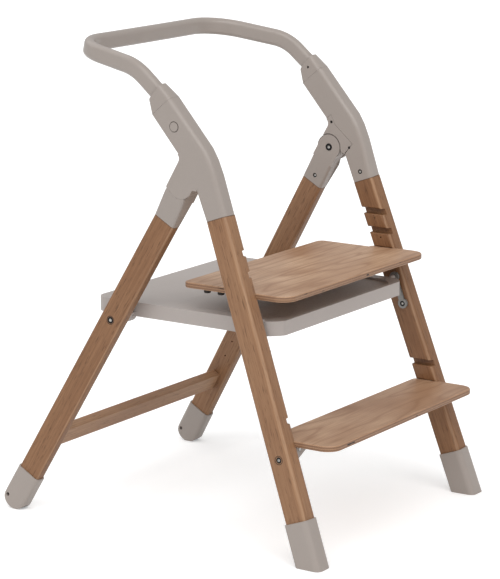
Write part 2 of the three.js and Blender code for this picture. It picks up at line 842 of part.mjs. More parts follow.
function buttonWellCut() {
  const floor = -buttonHeight - buttonTravel - seatGap;
  const springFloor = floor - springSeat;
  const wide = buttonRadius + slideGap;
  const narrow = springRadius + springWire + slideGap;
  return turned([
    [0, springFloor],
    [narrow, springFloor],
    [narrow, floor],
    [wide, floor],
    [wide, overrun],
    [0, overrun],
  ], buttonPlace, roundSides * 2);
}

function bracket() {
  const station = (front, rear, middle = bracketSpan, width = bracketWidth) => ({
    front, rear, middle, width, nose: bracketNose, heel: bracketHeel,
  });
  let body = loft([
    station(onArm(armLength, armFrontSide), onArm(armLength, armRearSide)),
    station([-elbowTopAhead, elbowTopRise], hip),
    station([-elbowMiddleAhead, elbowMiddleRise], [(hip[0] + crotch[0]) / 2, (hip[1] + crotch[1]) / 2]),
    station([-elbowLowAhead, elbowLowRise], crotch),
    station(frontJoint(1, overrun), frontJoint(-1, overrun), frontTop.x, frontWidth),
  ]);
  body = body.add(hipPlate());
  body = body.subtract(memberTrim(frontFrame, -seatGap));
  body = body.subtract(tonguePocket());
  body = body.subtract(prism(frontFrame, frontTenon(seatGap), -tenonLength - seatGap, overrun));
  body = body.subtract(sidePlate(
    coverShape(seatGap, overrun),
    bracketInner - overrun,
    bracketInner + coverThickness + seatGap,
  ));
  body = body.subtract(armPlate(
    armLength - tongueLength - slideGap,
    armLength + overrun,
    tongueDepth + 2 * slideGap,
    tongueInner - slideGap,
    tongueInner + tongueWidth + slideGap,
  ));
  body = body.subtract(buttonWellCut());
  body = body.subtract(fastener(pivotPlace, pivotBolt, seatGap));
  body = body.subtract(fastener(frontJointScrew, woodScrew, seatGap));
  for (const place of coverScrewPlaces) body = body.subtract(fastener(place, capScrew, seatGap));
  return body;
}

function hingeCover() {
  let body = sidePlate(coverShape(0, 0), bracketInner, bracketInner + coverThickness);
  body = body.subtract(capSweep(bracketInner - overrun, bracketOuter));
  for (const place of coverScrewPlaces) body = body.subtract(fastener(place, capScrew, seatGap));
  return body;
}

addPair('bracket', bracket(), plastic);
addPair('hinge_cover', hingeCover(), plastic);
addPair('leg_socket_screw', fastener(frontJointScrew, woodScrew), steel);
addPair('cover_screw_upper', fastener(coverScrewPlaces[0], capScrew), steel);
addPair('cover_screw_lower', fastener(coverScrewPlaces[1], capScrew), steel);

// Release buttons and their springs

function releaseButton() {
  const hollow = springRadius + springWire + slideGap;
  return turned([
    [0, 0],
    [buttonRadius - buttonProud, 0],
    [buttonRadius, -buttonProud],
    [buttonRadius, -buttonHeight],
    [hollow, -buttonHeight],
    [hollow, -buttonHeight + buttonWell],
    [0, -buttonHeight + buttonWell],
  ].reverse(), buttonPlace, roundSides * 2);
}

class Helix extends THREE.Curve {
  constructor(radius, length, turns) {
    super();
    Object.assign(this, { radius, length, turns });
  }

  getPoint(t) {
    const angle = 2 * Math.PI * this.turns * t;
    return new THREE.Vector3(
      this.radius * Math.cos(angle),
      this.radius * Math.sin(angle),
      this.length * t,
    );
  }
}

function buttonSpring() {
  const base = -buttonHeight - springSeat + springWire / 2;
  const length = buttonWell + springSeat - springWire - seatGap;
  const shape = new THREE.Shape();
  shape.absarc(0, 0, springWire / 2, 0, 2 * Math.PI, false);
  const geometry = new THREE.ExtrudeGeometry(shape, {
    steps: springTurns * stepsPerTurn,
    curveSegments: cornerSteps,
    bevelEnabled: false,
    extrudePath: new Helix(springRadius, length - springWire, springTurns),
  });
  geometry.translate(0, 0, base + springWire / 2);
  return toSolid(geometry.applyMatrix4(buttonPlace));
}

addPair('release_button', releaseButton(), plastic);
addPair('button_spring', buttonSpring(), steel);

// Rail: one oval tube bent over the shoulders and round the two rear corners

const railDown = [-Math.sin(railLean), -Math.cos(railLean)];
const onRail = (distance, ahead) => [
  shoulderBack + distance * railDown[0] + ahead * railDown[1],
  shoulderRise + distance * railDown[1] - ahead * railDown[0],
];
const railPoint = (distance) => new THREE.Vector3(
  shoulderSpan + distance * Math.tan(railToe),
  onRail(distance, 0)[0],
  hingeHeight + onRail(distance, 0)[1],
);

class Bend extends THREE.Curve {
  constructor(before, corner, after, radius) {
    super();
    const inward = new THREE.Vector3().subVectors(corner, before).normalize();
    const onward = new THREE.Vector3().subVectors(after, corner).normalize();
    this.turn = inward.angleTo(onward);
    this.radius = radius;
    this.inward = inward;
    this.start = corner.clone().addScaledVector(inward, -radius * Math.tan(this.turn / 2));
    this.end = corner.clone().addScaledVector(onward, radius * Math.tan(this.turn / 2));
    this.side = onward.clone().addScaledVector(inward, -onward.dot(inward)).normalize();
  }

  getPoint(t) {
    const angle = this.turn * t;
    return this.start.clone()
      .addScaledVector(this.inward, this.radius * Math.sin(angle))
      .addScaledVector(this.side, this.radius * (1 - Math.cos(angle)));
  }
}

function railPath() {
  const corner = new THREE.Vector3(cornerSpan, cornerBack, hingeHeight + cornerRise);
  const middle = new THREE.Vector3(
    0,
    cornerBack + railBow,
    hingeHeight + cornerRise - railDroop,
  );
  const right = [railPoint(railEntry), railPoint(0), corner, middle];
  const left = right.map((point) => new THREE.Vector3(-point.x, point.y, point.z));
  const path = new THREE.CurvePath();
  const shoulderIn = new Bend(left[0], left[1], left[2], shoulderBend);
  const cornerIn = new Bend(left[1], left[2], left[3], cornerBend);
  const cornerOut = new Bend(right[3], right[2], right[1], cornerBend);
  const shoulderOut = new Bend(right[2], right[1], right[0], shoulderBend);
  path.add(new THREE.LineCurve3(left[0], shoulderIn.start));
  path.add(shoulderIn);
  path.add(new THREE.LineCurve3(shoulderIn.end, cornerIn.start));
  path.add(cornerIn);
  path.add(new THREE.QuadraticBezierCurve3(cornerIn.end, middle, cornerOut.start));
  path.add(cornerOut);
  path.add(new THREE.LineCurve3(cornerOut.end, shoulderOut.start));
  path.add(shoulderOut);
  path.add(new THREE.LineCurve3(shoulderOut.end, right[0]));
  return path;
}

const railScrewPlace = sideFacing(
  onRail(railEntry - railSocketDepth / 2, 0),
  bracketSpan - socketTopWidth / 2,
  xInward,
);

function ovalSection(gap) {
  const round = railWidth / 2 * ovalShare + gap;
  return roundedSection(railWidth + 2 * gap, railDepth + 2 * gap, round, round);
}

function rail() {
  const geometry = new THREE.ExtrudeGeometry(ovalSection(0), {
    steps: railSteps,
    curveSegments: cornerSteps,
    bevelEnabled: false,
    extrudePath: railPath(),
  });
  const hole = fastener(railScrewPlace, capScrew, seatGap);
  return toSolid(geometry).subtract(hole).subtract(toSolid(toGeometry(hole, true)));
}

function railSocket() {
  const top = railEntry - railSocketDepth;
  const half = socketTopDepth / 2;
  let body = loft([
    {
      front: onRail(top, half), rear: onRail(top, -half), middle: railPoint(top).x,
      width: socketTopWidth, nose: bracketNose, heel: bracketNose,
    },
    {
      front: onArm(armLength + seatGap, armFrontSide), rear: onArm(armLength + seatGap, armRearSide),
      middle: bracketSpan, width: bracketWidth, nose: bracketNose, heel: bracketHeel,
    },
  ]);
  body = body.add(armPlate(
    armLength - tongueLength,
    armLength + overrun,
    tongueDepth,
    tongueInner,
    tongueInner + tongueWidth,
  ));
  const railFrame = memberFrame(railPoint(0), railPoint(railEntry));
  body = body.subtract(prism(railFrame, ovalSection(seatGap), top - overrun, railEntry + seatGap));
  return body.subtract(fastener(railScrewPlace, capScrew, seatGap));
}

addPiece('rail', rail(), plastic);
addPair('rail_socket', railSocket(), plastic);
addPair('rail_socket_screw', fastener(railScrewPlace, capScrew), steel);

// Boards

function boardShape(front, shoulder, rear, wide, narrow) {
  const shape = new THREE.Shape();
  shape.moveTo(-wide + boardCorner, front);
  shape.absarc(wide - boardCorner, front + boardCorner, boardCorner, -Math.PI / 2, 0, false);
  if (narrow < wide) {
    shape.lineTo(wide, shoulder - shoulderCorner);
    shape.quadraticCurveTo(wide, shoulder, narrow, shoulder);
  }
  shape.absarc(narrow - boardCorner, rear - boardCorner, boardCorner, 0, Math.PI / 2, false);
  shape.absarc(-narrow + boardCorner, rear - boardCorner, boardCorner, Math.PI / 2, Math.PI, false);
  if (narrow < wide) {
    shape.lineTo(-narrow, shoulder);
    shape.quadraticCurveTo(-wide, shoulder, -wide, shoulder - shoulderCorner);
  }
  shape.absarc(-wide + boardCorner, front + boardCorner, boardCorner, Math.PI, 1.5 * Math.PI, false);
  return shape;
}

function board(shape, top) {
  const geometry = new THREE.ExtrudeGeometry(shape, {
    depth: boardThickness,
    bevelEnabled: false,
    curveSegments: cornerSteps * 2,
  });
  geometry.translate(0, 0, top - boardThickness);
  return toSolid(geometry);
}

const seatLine = frontAxis(seatHeight).y;
const seatNarrow = frontInner(seatHeight) - seatSideGap;
const footrestLine = frontAxis(footrestHeight).y;
const footrestWide = frontInner(footrestGrooveHeight) + grooveDepth - slideGap;

addPiece('seat_board', board(boardShape(
  seatLine - seatAhead,
  seatLine + seatShoulder,
  seatLine + seatBehind,
  frontInner(seatGrooveHeight) + grooveDepth - slideGap,
  seatNarrow,
), seatHeight), plywood);

addPiece('footrest_board', board(boardShape(
  footrestLine - footrestAhead,
  footrestLine,
  footrestLine + footrestBehind,
  footrestWide,
  footrestWide,
), footrestHeight), plywood);

function seatKnob(behind) {
  const place = new THREE.Vector3(
    seatNarrow - knobInset,
    seatLine + behind,
    seatHeight - boardThickness - seatGap,
  );
  return turned([
    [0, -knobHeight],
    [knobRadius - knobBevel, -knobHeight],
    [knobRadius, -knobHeight + knobBevel],
    [knobRadius, -knobBevel],
    [knobRadius - knobBevel, 0],
    [0, 0],
  ], new THREE.Matrix4().setPosition(place), smallSides);
}

addPair('seat_knob_front', seatKnob(knobBehind), rubber);
addPair('seat_knob_rear', seatKnob(knobBehind + knobPitch), rubber);

function footrestClamp() {
  const top = footrestHeight - boardThickness - seatGap;
  const inner = frontInner(footrestHeight) - clampWidth;
  const middle = frontAxis(top).y;
  let body = block(
    inner,
    inner + 2 * clampWidth,
    middle - clampDepth / 2,
    middle + clampDepth / 2,
    top - clampHeight,
    top,
  );
  body = body.subtract(innerFaceTrim(frontFrame, frontWidth, frontLegEnd));
  return body.subtract(fastener(footBoltPlace, legBolt, seatGap));
}

addPair('footrest_clamp', footrestClamp(), plastic);
addPair('footrest_bolt', fastener(footBoltPlace, legBolt), steel);

// Platform

const platformFloor = platformTop - platformThickness;
const platformFront = frontAxis(platformTop).y - platformAhead;
const platformRear = platformPivot.y + platformBehind;

function platformOutline(inset) {
  const side = platformSpan - inset;
  const front = platformFront + inset;
  const rear = platformRear - inset;
  const corner = platformCorner - inset / 2;
  const pull = corner * cornerPullShare;
  const shape = new THREE.Shape();
  shape.moveTo(-side + corner, front);
  shape.lineTo(side - corner, front);
  shape.quadraticCurveTo(side - pull, front + pull, side, front + corner);
  shape.absarc(side - corner, rear - corner, corner, 0, Math.PI / 2, false);
  shape.absarc(-side + corner, rear - corner, corner, Math.PI / 2, Math.PI, false);
  shape.lineTo(-side, front + corner);
  shape.quadraticCurveTo(-side + pull, front + pull, -side + corner, front);
  return shape;
}

function upright(shape, from, to) {
  const geometry = new THREE.ExtrudeGeometry(shape, {
    depth: to - from,
    bevelEnabled: false,
    curveSegments: cornerSteps * 2,
  });
  geometry.translate(0, 0, from);
  return toSolid(geometry);
}

function dish() {
  const side = platformSpan - dishInset;
  const front = platformFront + platformRim * 2;
  const shape = new THREE.Shape();
  shape.moveTo(-side + dishInset, front);
  shape.lineTo(side - dishInset, front);
  shape.lineTo(side, front + dishInset);
  shape.absarc(side - dishInset, front + dishRun - dishInset, dishInset, 0, Math.PI / 2, false);
  shape.absarc(-side + dishInset, front + dishRun - dishInset, dishInset, Math.PI / 2, Math.PI, false);
  shape.lineTo(-side, front + dishInset);
  return upright(shape, platformTop - dishDepth, platformTop + overrun);
}

const hookEye = new THREE.Vector3(hookFace, hookForward, hookAlong).applyMatrix4(frontFrame);

function platformLug() {
  const y = platformPivot.y;
  const rise = platformPivot.z - hingeHeight;
  const base = platformFloor + platformRim * 2 - hingeHeight;
  const outer = rearInner(platformPivot.z + lugRadius) - lugGap;
  const inner = platformSpan - lugWidth;
  const web = sidePlate(outline([
    [y - lugRadius, rise],
    [y + lugRadius, rise],
    [y + 2 * lugRadius, base],
    [y - 2 * lugRadius, base],
  ]), inner, outer);
  return web.add(disc(lugRadius, inner, outer, y, rise));
}

function platform() {
  let body = upright(platformOutline(0), platformFloor, platformTop);
  body = body.subtract(upright(
    platformOutline(platformRim),
    platformFloor - overrun,
    platformTop - dishDepth - platformPlate,
  ));
  body = body.subtract(dish());
  const lug = platformLug();
  const peg = disc(
    hookHole - slideGap,
    platformSpan - platformRim,
    hookEye.x - slideGap,
    hookEye.y,
    hookEye.z - hingeHeight,
  );
  const bolt = fastener(platformBoltPlace, platformBolt, slideGap);
  for (const piece of [lug, peg]) body = body.add(piece).add(toSolid(toGeometry(piece, true)));
  return body.subtract(bolt).subtract(toSolid(toGeometry(bolt, true)));
}

addPiece('platform', platform(), plastic);
addPair('platform_bolt', fastener(platformBoltPlace, platformBolt), steel);

// Hooks on the front legs that carry the platform's front pegs

const frontSideView = new THREE.Matrix4().multiplyMatrices(frontFrame, sideTurn);

function hookPlate(shape, from, to) {
  const geometry = new THREE.ExtrudeGeometry(shape, {
    depth: to - from,
    bevelEnabled: false,
    curveSegments: roundSides / 2,
  });
  geometry.translate(0, 0, from);
  return toSolid(geometry.applyMatrix4(frontSideView));
}

function hook() {
  const outer = hookFace + hookThickness;
  const circle = (radius, along) => {
    const shape = new THREE.Shape();
    shape.absarc(hookForward, along, radius, 0, 2 * Math.PI, false);
    return shape;
  };
  const strap = outline([
    [hookForward - hookWaist, hookAlong],
    [hookForward + hookWaist, hookAlong],
    [hookForward + hookWaist, hookAlong + hookLength],
    [hookForward - hookWaist, hookAlong + hookLength],
  ]);
  let body = hookPlate(strap, hookFace, outer);
  body = body.add(hookPlate(circle(hookRadius, hookAlong), hookFace, outer));
  body = body.add(hookPlate(circle(hookRadius, hookAlong + hookLength), hookFace, outer));
  body = body.subtract(hookPlate(circle(hookHole, hookAlong), hookFace - overrun, outer + overrun));
  return body.subtract(fastener(hookScrewPlace, hookScrew, seatGap));
}

addPair('platform_hook', hook(), plastic);
addPair('hook_screw', fastener(hookScrewPlace, hookScrew), steel);

// Stand the chair in the middle of its own footprint
const bounds = new THREE.Box3().setFromObject(chair, true);
chair.position.y = -(bounds.min.y + bounds.max.y) / 2;

export default chair;
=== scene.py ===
import json
import math

import bmesh
import bpy
from mathutils import Matrix, Quaternion, Vector

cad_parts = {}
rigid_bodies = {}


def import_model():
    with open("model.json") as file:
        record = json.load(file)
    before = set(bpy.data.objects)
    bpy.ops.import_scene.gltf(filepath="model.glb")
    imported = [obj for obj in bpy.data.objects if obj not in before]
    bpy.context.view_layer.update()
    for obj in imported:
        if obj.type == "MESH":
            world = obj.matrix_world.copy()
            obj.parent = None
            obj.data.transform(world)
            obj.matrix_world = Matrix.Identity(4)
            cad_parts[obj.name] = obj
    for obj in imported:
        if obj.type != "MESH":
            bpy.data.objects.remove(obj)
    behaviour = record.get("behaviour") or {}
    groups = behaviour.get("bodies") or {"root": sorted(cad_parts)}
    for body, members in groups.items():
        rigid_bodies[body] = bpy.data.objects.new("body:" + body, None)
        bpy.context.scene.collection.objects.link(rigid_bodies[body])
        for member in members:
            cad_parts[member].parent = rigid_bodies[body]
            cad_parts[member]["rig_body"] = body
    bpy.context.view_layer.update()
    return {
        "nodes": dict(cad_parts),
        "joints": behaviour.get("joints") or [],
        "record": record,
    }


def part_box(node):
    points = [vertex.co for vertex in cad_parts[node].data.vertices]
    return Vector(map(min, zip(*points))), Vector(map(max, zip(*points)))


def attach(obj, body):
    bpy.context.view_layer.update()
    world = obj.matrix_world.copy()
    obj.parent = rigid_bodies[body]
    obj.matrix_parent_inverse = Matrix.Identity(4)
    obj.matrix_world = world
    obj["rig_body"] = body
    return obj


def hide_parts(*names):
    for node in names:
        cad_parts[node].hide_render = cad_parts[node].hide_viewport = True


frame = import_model()
cadNodes = frame["nodes"]
slotOf = {part["node"]: part["material_slot"] for part in frame["record"]["subparts"]}
hinge = Vector(next(joint["pos_m"] for joint in frame["joints"] if joint["name"] == "fold"))
rearLean = math.radians(29.8)  # of the rear legs, from upright
print("frame loaded:", len(cadNodes), "pieces")


# Colours are written as they look, from 0 to 255


def tone(red, green, blue):
    shares = [value / 255 for value in (red, green, blue)]
    return [s / 12.92 if s <= 0.04045 else ((s + 0.055) / 1.055) ** 2.4 for s in shares] + [1]


# Node helpers


def newMaterial(name, **finish):
    material = bpy.data.materials.new(name)
    material.use_nodes = True
    tree = material.node_tree
    surface = tree.nodes["Principled BSDF"]
    for socket, value in finish.items():
        surface.inputs[socket.replace("_", " ")].default_value = value
    return material, tree, surface


def addNode(tree, kind, inputs, **options):
    made = tree.nodes.new(kind)
    for option, value in options.items():
        setattr(made, option, value)
    for socket, value in inputs.items():
        if isinstance(value, bpy.types.NodeSocket):
            tree.links.new(value, made.inputs[socket])
        else:
            made.inputs[socket].default_value = value
    return made


def connect(tree, surface, **outputs):
    for socket, value in outputs.items():
        tree.links.new(value, surface.inputs[socket.replace("_", " ")])


def coordinate(tree, kind):
    return addNode(tree, "ShaderNodeTexCoord", {}).outputs[kind]


def axesOf(tree, vector):
    return addNode(tree, "ShaderNodeSeparateXYZ", {0: vector}).outputs


def objectPlace(tree, scale=(1, 1, 1), shift=(0, 0, 0), turn=(0, 0, 0)):
    inputs = {"Vector": coordinate(tree, "Object"), "Location": shift, "Rotation": turn}
    moved = addNode(tree, "ShaderNodeMapping", inputs).outputs[0]
    return addNode(tree, "ShaderNodeMapping", {"Vector": moved, "Scale": scale}).outputs[0]


def noiseAt(tree, layer, shift=(0, 0, 0), turn=(0, 0, 0)):
    inputs = {
        "Vector": objectPlace(tree, layer.get("stretch", (1, 1, 1)), shift, turn),
        "Scale": layer["scale"],
        "Detail": layer.get("detail", 2.0),
        "Roughness": layer.get("roughness", 0.5),
        "Distortion": layer.get("distortion", 0.0),
    }
    return addNode(tree, "ShaderNodeTexNoise", inputs).outputs["Fac"]


def ramp(tree, value, stops, interpolation="LINEAR"):
    made = addNode(tree, "ShaderNodeValToRGB", {"Fac": value})
    made.color_ramp.interpolation = interpolation
    elements = made.color_ramp.elements
    while len(elements) < len(stops):
        elements.new(0.5)
    for element, (position, level) in zip(elements, stops):
        element.position = position
        element.color = (level, level, level, 1)
    return made.outputs["Color"]


mixSockets = {"share": 0, "first": 6, "second": 7, "result": 2}  # of a Mix node for colours


def mixColours(tree, share, first, second, blend="MIX"):
    values = {"share": share, "first": first, "second": second}
    inputs = {mixSockets[key]: value for key, value in values.items()}
    made = addNode(tree, "ShaderNodeMix", inputs, data_type="RGBA", blend_type=blend)
    return made.outputs[mixSockets["result"]]


def calculate(tree, operation, *values):
    return addNode(tree, "ShaderNodeMath", dict(enumerate(values)), operation=operation).outputs[0]


def times(tree, first, *others):
    product = first
    for other in others:
        product = calculate(tree, "MULTIPLY", product, other)
    return product


def nearTo(tree, value, middle, within):
    away = calculate(tree, "ABSOLUTE", calculate(tree, "SUBTRACT", value, middle))
    return calculate(tree, "LESS_THAN", away, within)


def mapRange(tree, value, before, after):
    limits = (*before, *after)
    inputs = dict(zip(("From Min", "From Max", "To Min", "To Max"), limits))
    return addNode(tree, "ShaderNodeMapRange", {"Value": value} | inputs).outputs["Result"]


def spread(tree, value, limits):
    return mapRange(tree, value, (0.0, 1.0), limits)


def coverOf(tree, value, layer):
    return times(tree, ramp(tree, value, layer["stops"]), layer["share"])


def bumpFrom(tree, height, distance):
    inputs = {"Height": height, "Distance": distance}
    return addNode(tree, "ShaderNodeBump", inputs).outputs["Normal"]


def sideOffsets(tree, place, middle):
    return [
        calculate(tree, "SUBTRACT", place[axis], there) for axis, there in zip("YZ", middle.yz)
    ]


def ringRound(tree, offsets, radius, width):
    squares = [times(tree, offset, offset) for offset in offsets]
    reach = calculate(tree, "SQRT", calculate(tree, "ADD", *squares))
    return nearTo(tree, reach, radius, width)


# Plastic

plasticLook = {
    "specular": 0.45,
    "cloudShare": (0.2, 0.8),
    "speck": [(0.3, 0.94), (0.7, 1.0)],
}
bracketLook = plasticLook | {
    "pale": tone(166, 156, 149),
    "deep": tone(157, 147, 140),
    "cloud": {"scale": 6, "detail": 3},
    "grain": {"scale": 1500, "roughness": 0.6},
    "grainDepth": 0.00003,
    "gloss": (0.27, 0.34),
}
capLook = bracketLook | {
    "disc": {
        "colour": tone(96, 88, 82),
        "radius": 0.0254,
        "width": 0.0008,
        "plane": 0.235,  # the cap's inner face, from the chair's middle
        "planeSlack": 0.001,
        "end": 0.006,  # how far the line runs down towards the leg
    },
}
# painted shade for the eased rims of the hinge covers and release buttons, standing for the shadow
# in the seam round them
seamShadeLook = bracketLook | {
    "pale": tone(104, 96, 89),
    "deep": tone(92, 84, 78),
    "gloss": (0.6, 0.7),
}
platformLook = plasticLook | {
    "pale": tone(181, 173, 168),
    "deep": tone(172, 163, 158),
    "cloud": {"scale": 8, "detail": 3},
    "grain": {"scale": 1100, "roughness": 0.6},
    "grainDepth": 0.00006,
    "gloss": (0.4, 0.5),
    # painted shade in the hollow, darker the deeper
    "hollow": {
        "colour": tone(140, 127, 116),
        "heights": (0.4155, 0.4205),  # from the hollow's floor to its rim
        "level": 0.97,
        "rough": {"scale": 130, "stretch": (1, 1.8, 1), "detail": 4, "roughness": 0.7},
        "stops": [(0.35, 0.25), (0.65, 1.0)],
        "share": 0.6,
    },
}


def paintedHollowShade(tree, hollow):
    # Painted shade: the platform's hollow is painted darker the deeper it lies, on its flat floor
    # only, broken up by noise.
    height = axesOf(tree, coordinate(tree, "Object"))["Z"]
    deep = mapRange(tree, height, hollow["heights"], (1.0, 0.0))
    upright = axesOf(tree, coordinate(tree, "Normal"))["Z"]
    flat = calculate(tree, "GREATER_THAN", upright, hollow["level"])
    rough = coverOf(tree, noiseAt(tree, hollow["rough"]), hollow)
    return times(tree, rough, deep, flat)


def discEdge(tree, disc):
    # The shadow line round the cap's disc, on its inner face and above the leg only.
    place = axesOf(tree, coordinate(tree, "Object"))
    back, up = sideOffsets(tree, place, hinge)
    ring = ringRound(tree, (back, up), disc["radius"], disc["width"])
    across = calculate(tree, "ABSOLUTE", place["X"])
    inner = nearTo(tree, across, disc["plane"], disc["planeSlack"])
    drops = [times(tree, back, math.sin(rearLean)), times(tree, up, math.cos(rearLean))]
    down = calculate(tree, "SUBTRACT", *drops)
    above = calculate(tree, "LESS_THAN", down, disc["end"])
    return times(tree, ring, inner, above)


def mouldedPlastic(name, look):
    material, tree, surface = newMaterial(name, Specular_IOR_Level=look["specular"])
    cloud = noiseAt(tree, look["cloud"])
    grain = noiseAt(tree, look["grain"])
    share = spread(tree, cloud, look["cloudShare"])
    colour = mixColours(tree, share, look["pale"], look["deep"])
    colour = mixColours(tree, 1.0, colour, ramp(tree, grain, look["speck"]), "MULTIPLY")
    for key, shareOf in (("hollow", paintedHollowShade), ("disc", discEdge)):
        if key in look:
            colour = mixColours(tree, shareOf(tree, look[key]), colour, look[key]["colour"])
    gloss = spread(tree, cloud, look["gloss"])
    normal = bumpFrom(tree, grain, look["grainDepth"])
    connect(tree, surface, Base_Color=colour, Roughness=gloss, Normal=normal)
    return material


# Solid wood of the legs and the crossbar

legLook = {
    "specular": 0.4,
    "light": tone(165, 127, 95),
    "middle": tone(149, 110, 80),
    "dark": tone(118, 82, 54),
    "fleck": tone(88, 58, 36),
    "broad": {
        "scale": 30,
        "stretch": (1, 1, 0.12),
        "detail": 3,
        "stops": [(0.3, 0.0), (0.7, 1.0)],
    },
    "rings": {
        "stretch": (1, 0.35, 0.02),
        "wave": {"Scale": 34, "Distortion": 5.0, "Detail": 2.0, "Detail Scale": 0.7},
        "stops": [(0.45, 0.0), (1.0, 1.0)],
        "share": 0.14,
    },
    "streak": {
        "scale": 420,
        "stretch": (1, 1, 0.03),
        "detail": 4,
        "roughness": 0.62,
        "stops": [(0.42, 1.0), (0.62, 0.0)],
        "share": 0.36,
    },
    "pore": {
        "scale": 620,
        "stretch": (1, 1, 0.07),
        "detail": 1,
        "stops": [(0.30, 1.0), (0.38, 0.0)],
        "share": 0.6,
    },
    "shadePowers": (1, 1.35, 1.8),  # the painted shade turns redder as it deepens
    # painted highlight colour of the rounded front corners
    "corner": tone(196, 160, 128),
    "cornerTurn": -2.0,  # 1 where a face looks half forward, half sideways
    "cornerStops": [(0.55, 0.0), (0.9, 1.0)],
    "cornerShare": 0.62,
    # colour of the painted shadow under the cap and round the bolts' holes
    "gap": tone(62, 40, 26),
    "jointWidth": 0.0018,
    "jointShare": 0.65,
    "ringRadius": 0.0076,
    "ringWidth": 0.0007,
    "ringReach": 0.002,  # inward from the bolt's outer end
    "grainDepth": 0.00012,
    "gloss": (0.36, 0.52),
}


def paintedCornerHighlight(tree, look, streak):
    # Painted highlight: the rounded corners in front are painted paler along the grain's streaks,
    # where they would catch the light.
    facing = axesOf(tree, coordinate(tree, "Normal"))
    across = calculate(tree, "ABSOLUTE", facing["X"])
    turned = times(tree, across, facing["Y"], look["cornerTurn"])
    corner = ramp(tree, turned, look["cornerStops"])
    return times(tree, corner, times(tree, streak, look["cornerShare"]))


def jointLine(tree, look, joint, along):
    # The shadow just below the cap that the leg's end sits in.
    inputs = {0: coordinate(tree, "Object"), 1: along}
    reach = addNode(tree, "ShaderNodeVectorMath", inputs, operation="DOT_PRODUCT")
    below = calculate(tree, "SUBTRACT", joint.dot(along), reach.outputs["Value"])
    line = mapRange(tree, below, (0.0, look["jointWidth"]), (1.0, 0.0))
    return times(tree, line, look["jointShare"])


def boltRingShadow(tree, look, bolt):
    # Painted shadow: a dark ring round the hole that a bolt's head sits in, on the leg's outer
    # face.
    low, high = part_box(bolt)
    place = axesOf(tree, coordinate(tree, "Object"))
    offsets = sideOffsets(tree, place, (low + high) / 2)
    ring = ringRound(tree, offsets, look["ringRadius"], look["ringWidth"])
    across = calculate(tree, "ABSOLUTE", place["X"])
    outermost = max(abs(low.x), abs(high.x))
    outside = calculate(tree, "GREATER_THAN", across, outermost - look["ringReach"])
    return times(tree, ring, outside)


def legWood(name, look, along, shift, shade, joint=None, bolt=None):
    material, tree, surface = newMaterial(name, Specular_IOR_Level=look["specular"])
    turn = along.to_track_quat("Z", "X").inverted().to_euler()
    broad, streak, pore = (
        noiseAt(tree, look[layer], shift, turn) for layer in ("broad", "streak", "pore")
    )
    ringPlace = objectPlace(tree, look["rings"]["stretch"], shift, turn)
    waves = addNode(tree, "ShaderNodeTexWave", {"Vector": ringPlace} | look["rings"]["wave"])
    share = ramp(tree, broad, look["broad"]["stops"])
    colour = mixColours(tree, share, look["middle"], look["light"])
    rings = coverOf(tree, waves.outputs["Fac"], look["rings"])
    colour = mixColours(tree, rings, colour, look["dark"])
    colour = mixColours(tree, coverOf(tree, streak, look["streak"]), colour, look["dark"])
    fleck = coverOf(tree, pore, look["pore"])
    colour = mixColours(tree, fleck, colour, look["fleck"])
    # each copy is multiplied by its own shade: for the legs, painted shade, darker where a leg
    # lies in more shade
    shading = [shade**power for power in look["shadePowers"]] + [1]
    colour = mixColours(tree, 1.0, colour, shading, "MULTIPLY")
    # painted highlight on the rounded front corners
    colour = mixColours(tree, paintedCornerHighlight(tree, look, streak), colour, look["corner"])
    # painted shadow below the cap and round the bolt's hole
    if joint is not None:
        colour = mixColours(tree, jointLine(tree, look, joint, along), colour, look["gap"])
    if bolt is not None:
        colour = mixColours(tree, boltRingShadow(tree, look, bolt), colour, look["gap"])
    relief = bumpFrom(tree, calculate(tree, "SUBTRACT", streak, fleck), look["grainDepth"])
    gloss = spread(tree, streak, look["gloss"])
    connect(tree, surface, Base_Color=colour, Roughness=gloss, Normal=relief)
    return material


# Plywood of the boards: five plies. The second and the fourth lie across and show their ends,
# with dark glue between

boardLook = {
    "specular": 0.4,
    "pale": tone(202, 168, 138),
    "warm": tone(172, 134, 104),
    "figure": tone(142, 102, 74),
    "edge": tone(162, 124, 95),
    "endPale": tone(108, 76, 54),
    "endDark": tone(70, 46, 31),
    "void": tone(40, 26, 18),
    "cloud": {"scale": 7.0, "stops": [(0.36, 0.0), (0.66, 1.0)]},
    "swell": {
        "scale": 3.4,
        "stretch": (0.9, 6.5, 1.5),
        "detail": 1.2,
        "roughness": 0.35,
        "distortion": 0.25,
    },
    "flameRings": 11,
    "flame": {"stops": [(0.0, 1.0), (0.30, 0.25), (0.75, 0.0)], "share": 0.62},
    "streak": {
        "scale": 420,
        "stretch": (0.03, 1, 1),
        "detail": 3,
        "roughness": 0.6,
        "stops": [(0.40, 1.0), (0.60, 0.0)],
        "share": 0.46,
    },
    "plies": [
        (0.0, 0.0),
        (0.18, 1.0),
        (0.2, 0.55),
        (0.38, 1.0),
        (0.4, 0.12),
        (0.58, 1.0),
        (0.6, 0.55),
        (0.8, 1.0),
        (0.82, 0.0),
    ],
    "plyShare": 0.95,
    "sideStops": [(0.45, 1.0), (0.85, 0.0)],
    "edgeShare": 0.75,
    "ends": {"scale": 900},
    "holes": {"scale": 52, "stretch": (0.55, 0.55, 2.6), "detail": 1},
    "holeStops": [(0.68, 0.0), (0.7, 1.0)],
    "innerPlies": [(0.0, 0.0), (0.2, 1.0), (0.8, 0.0)],
    "grainDepth": 0.00008,
    "gloss": (0.38, 0.52),
}


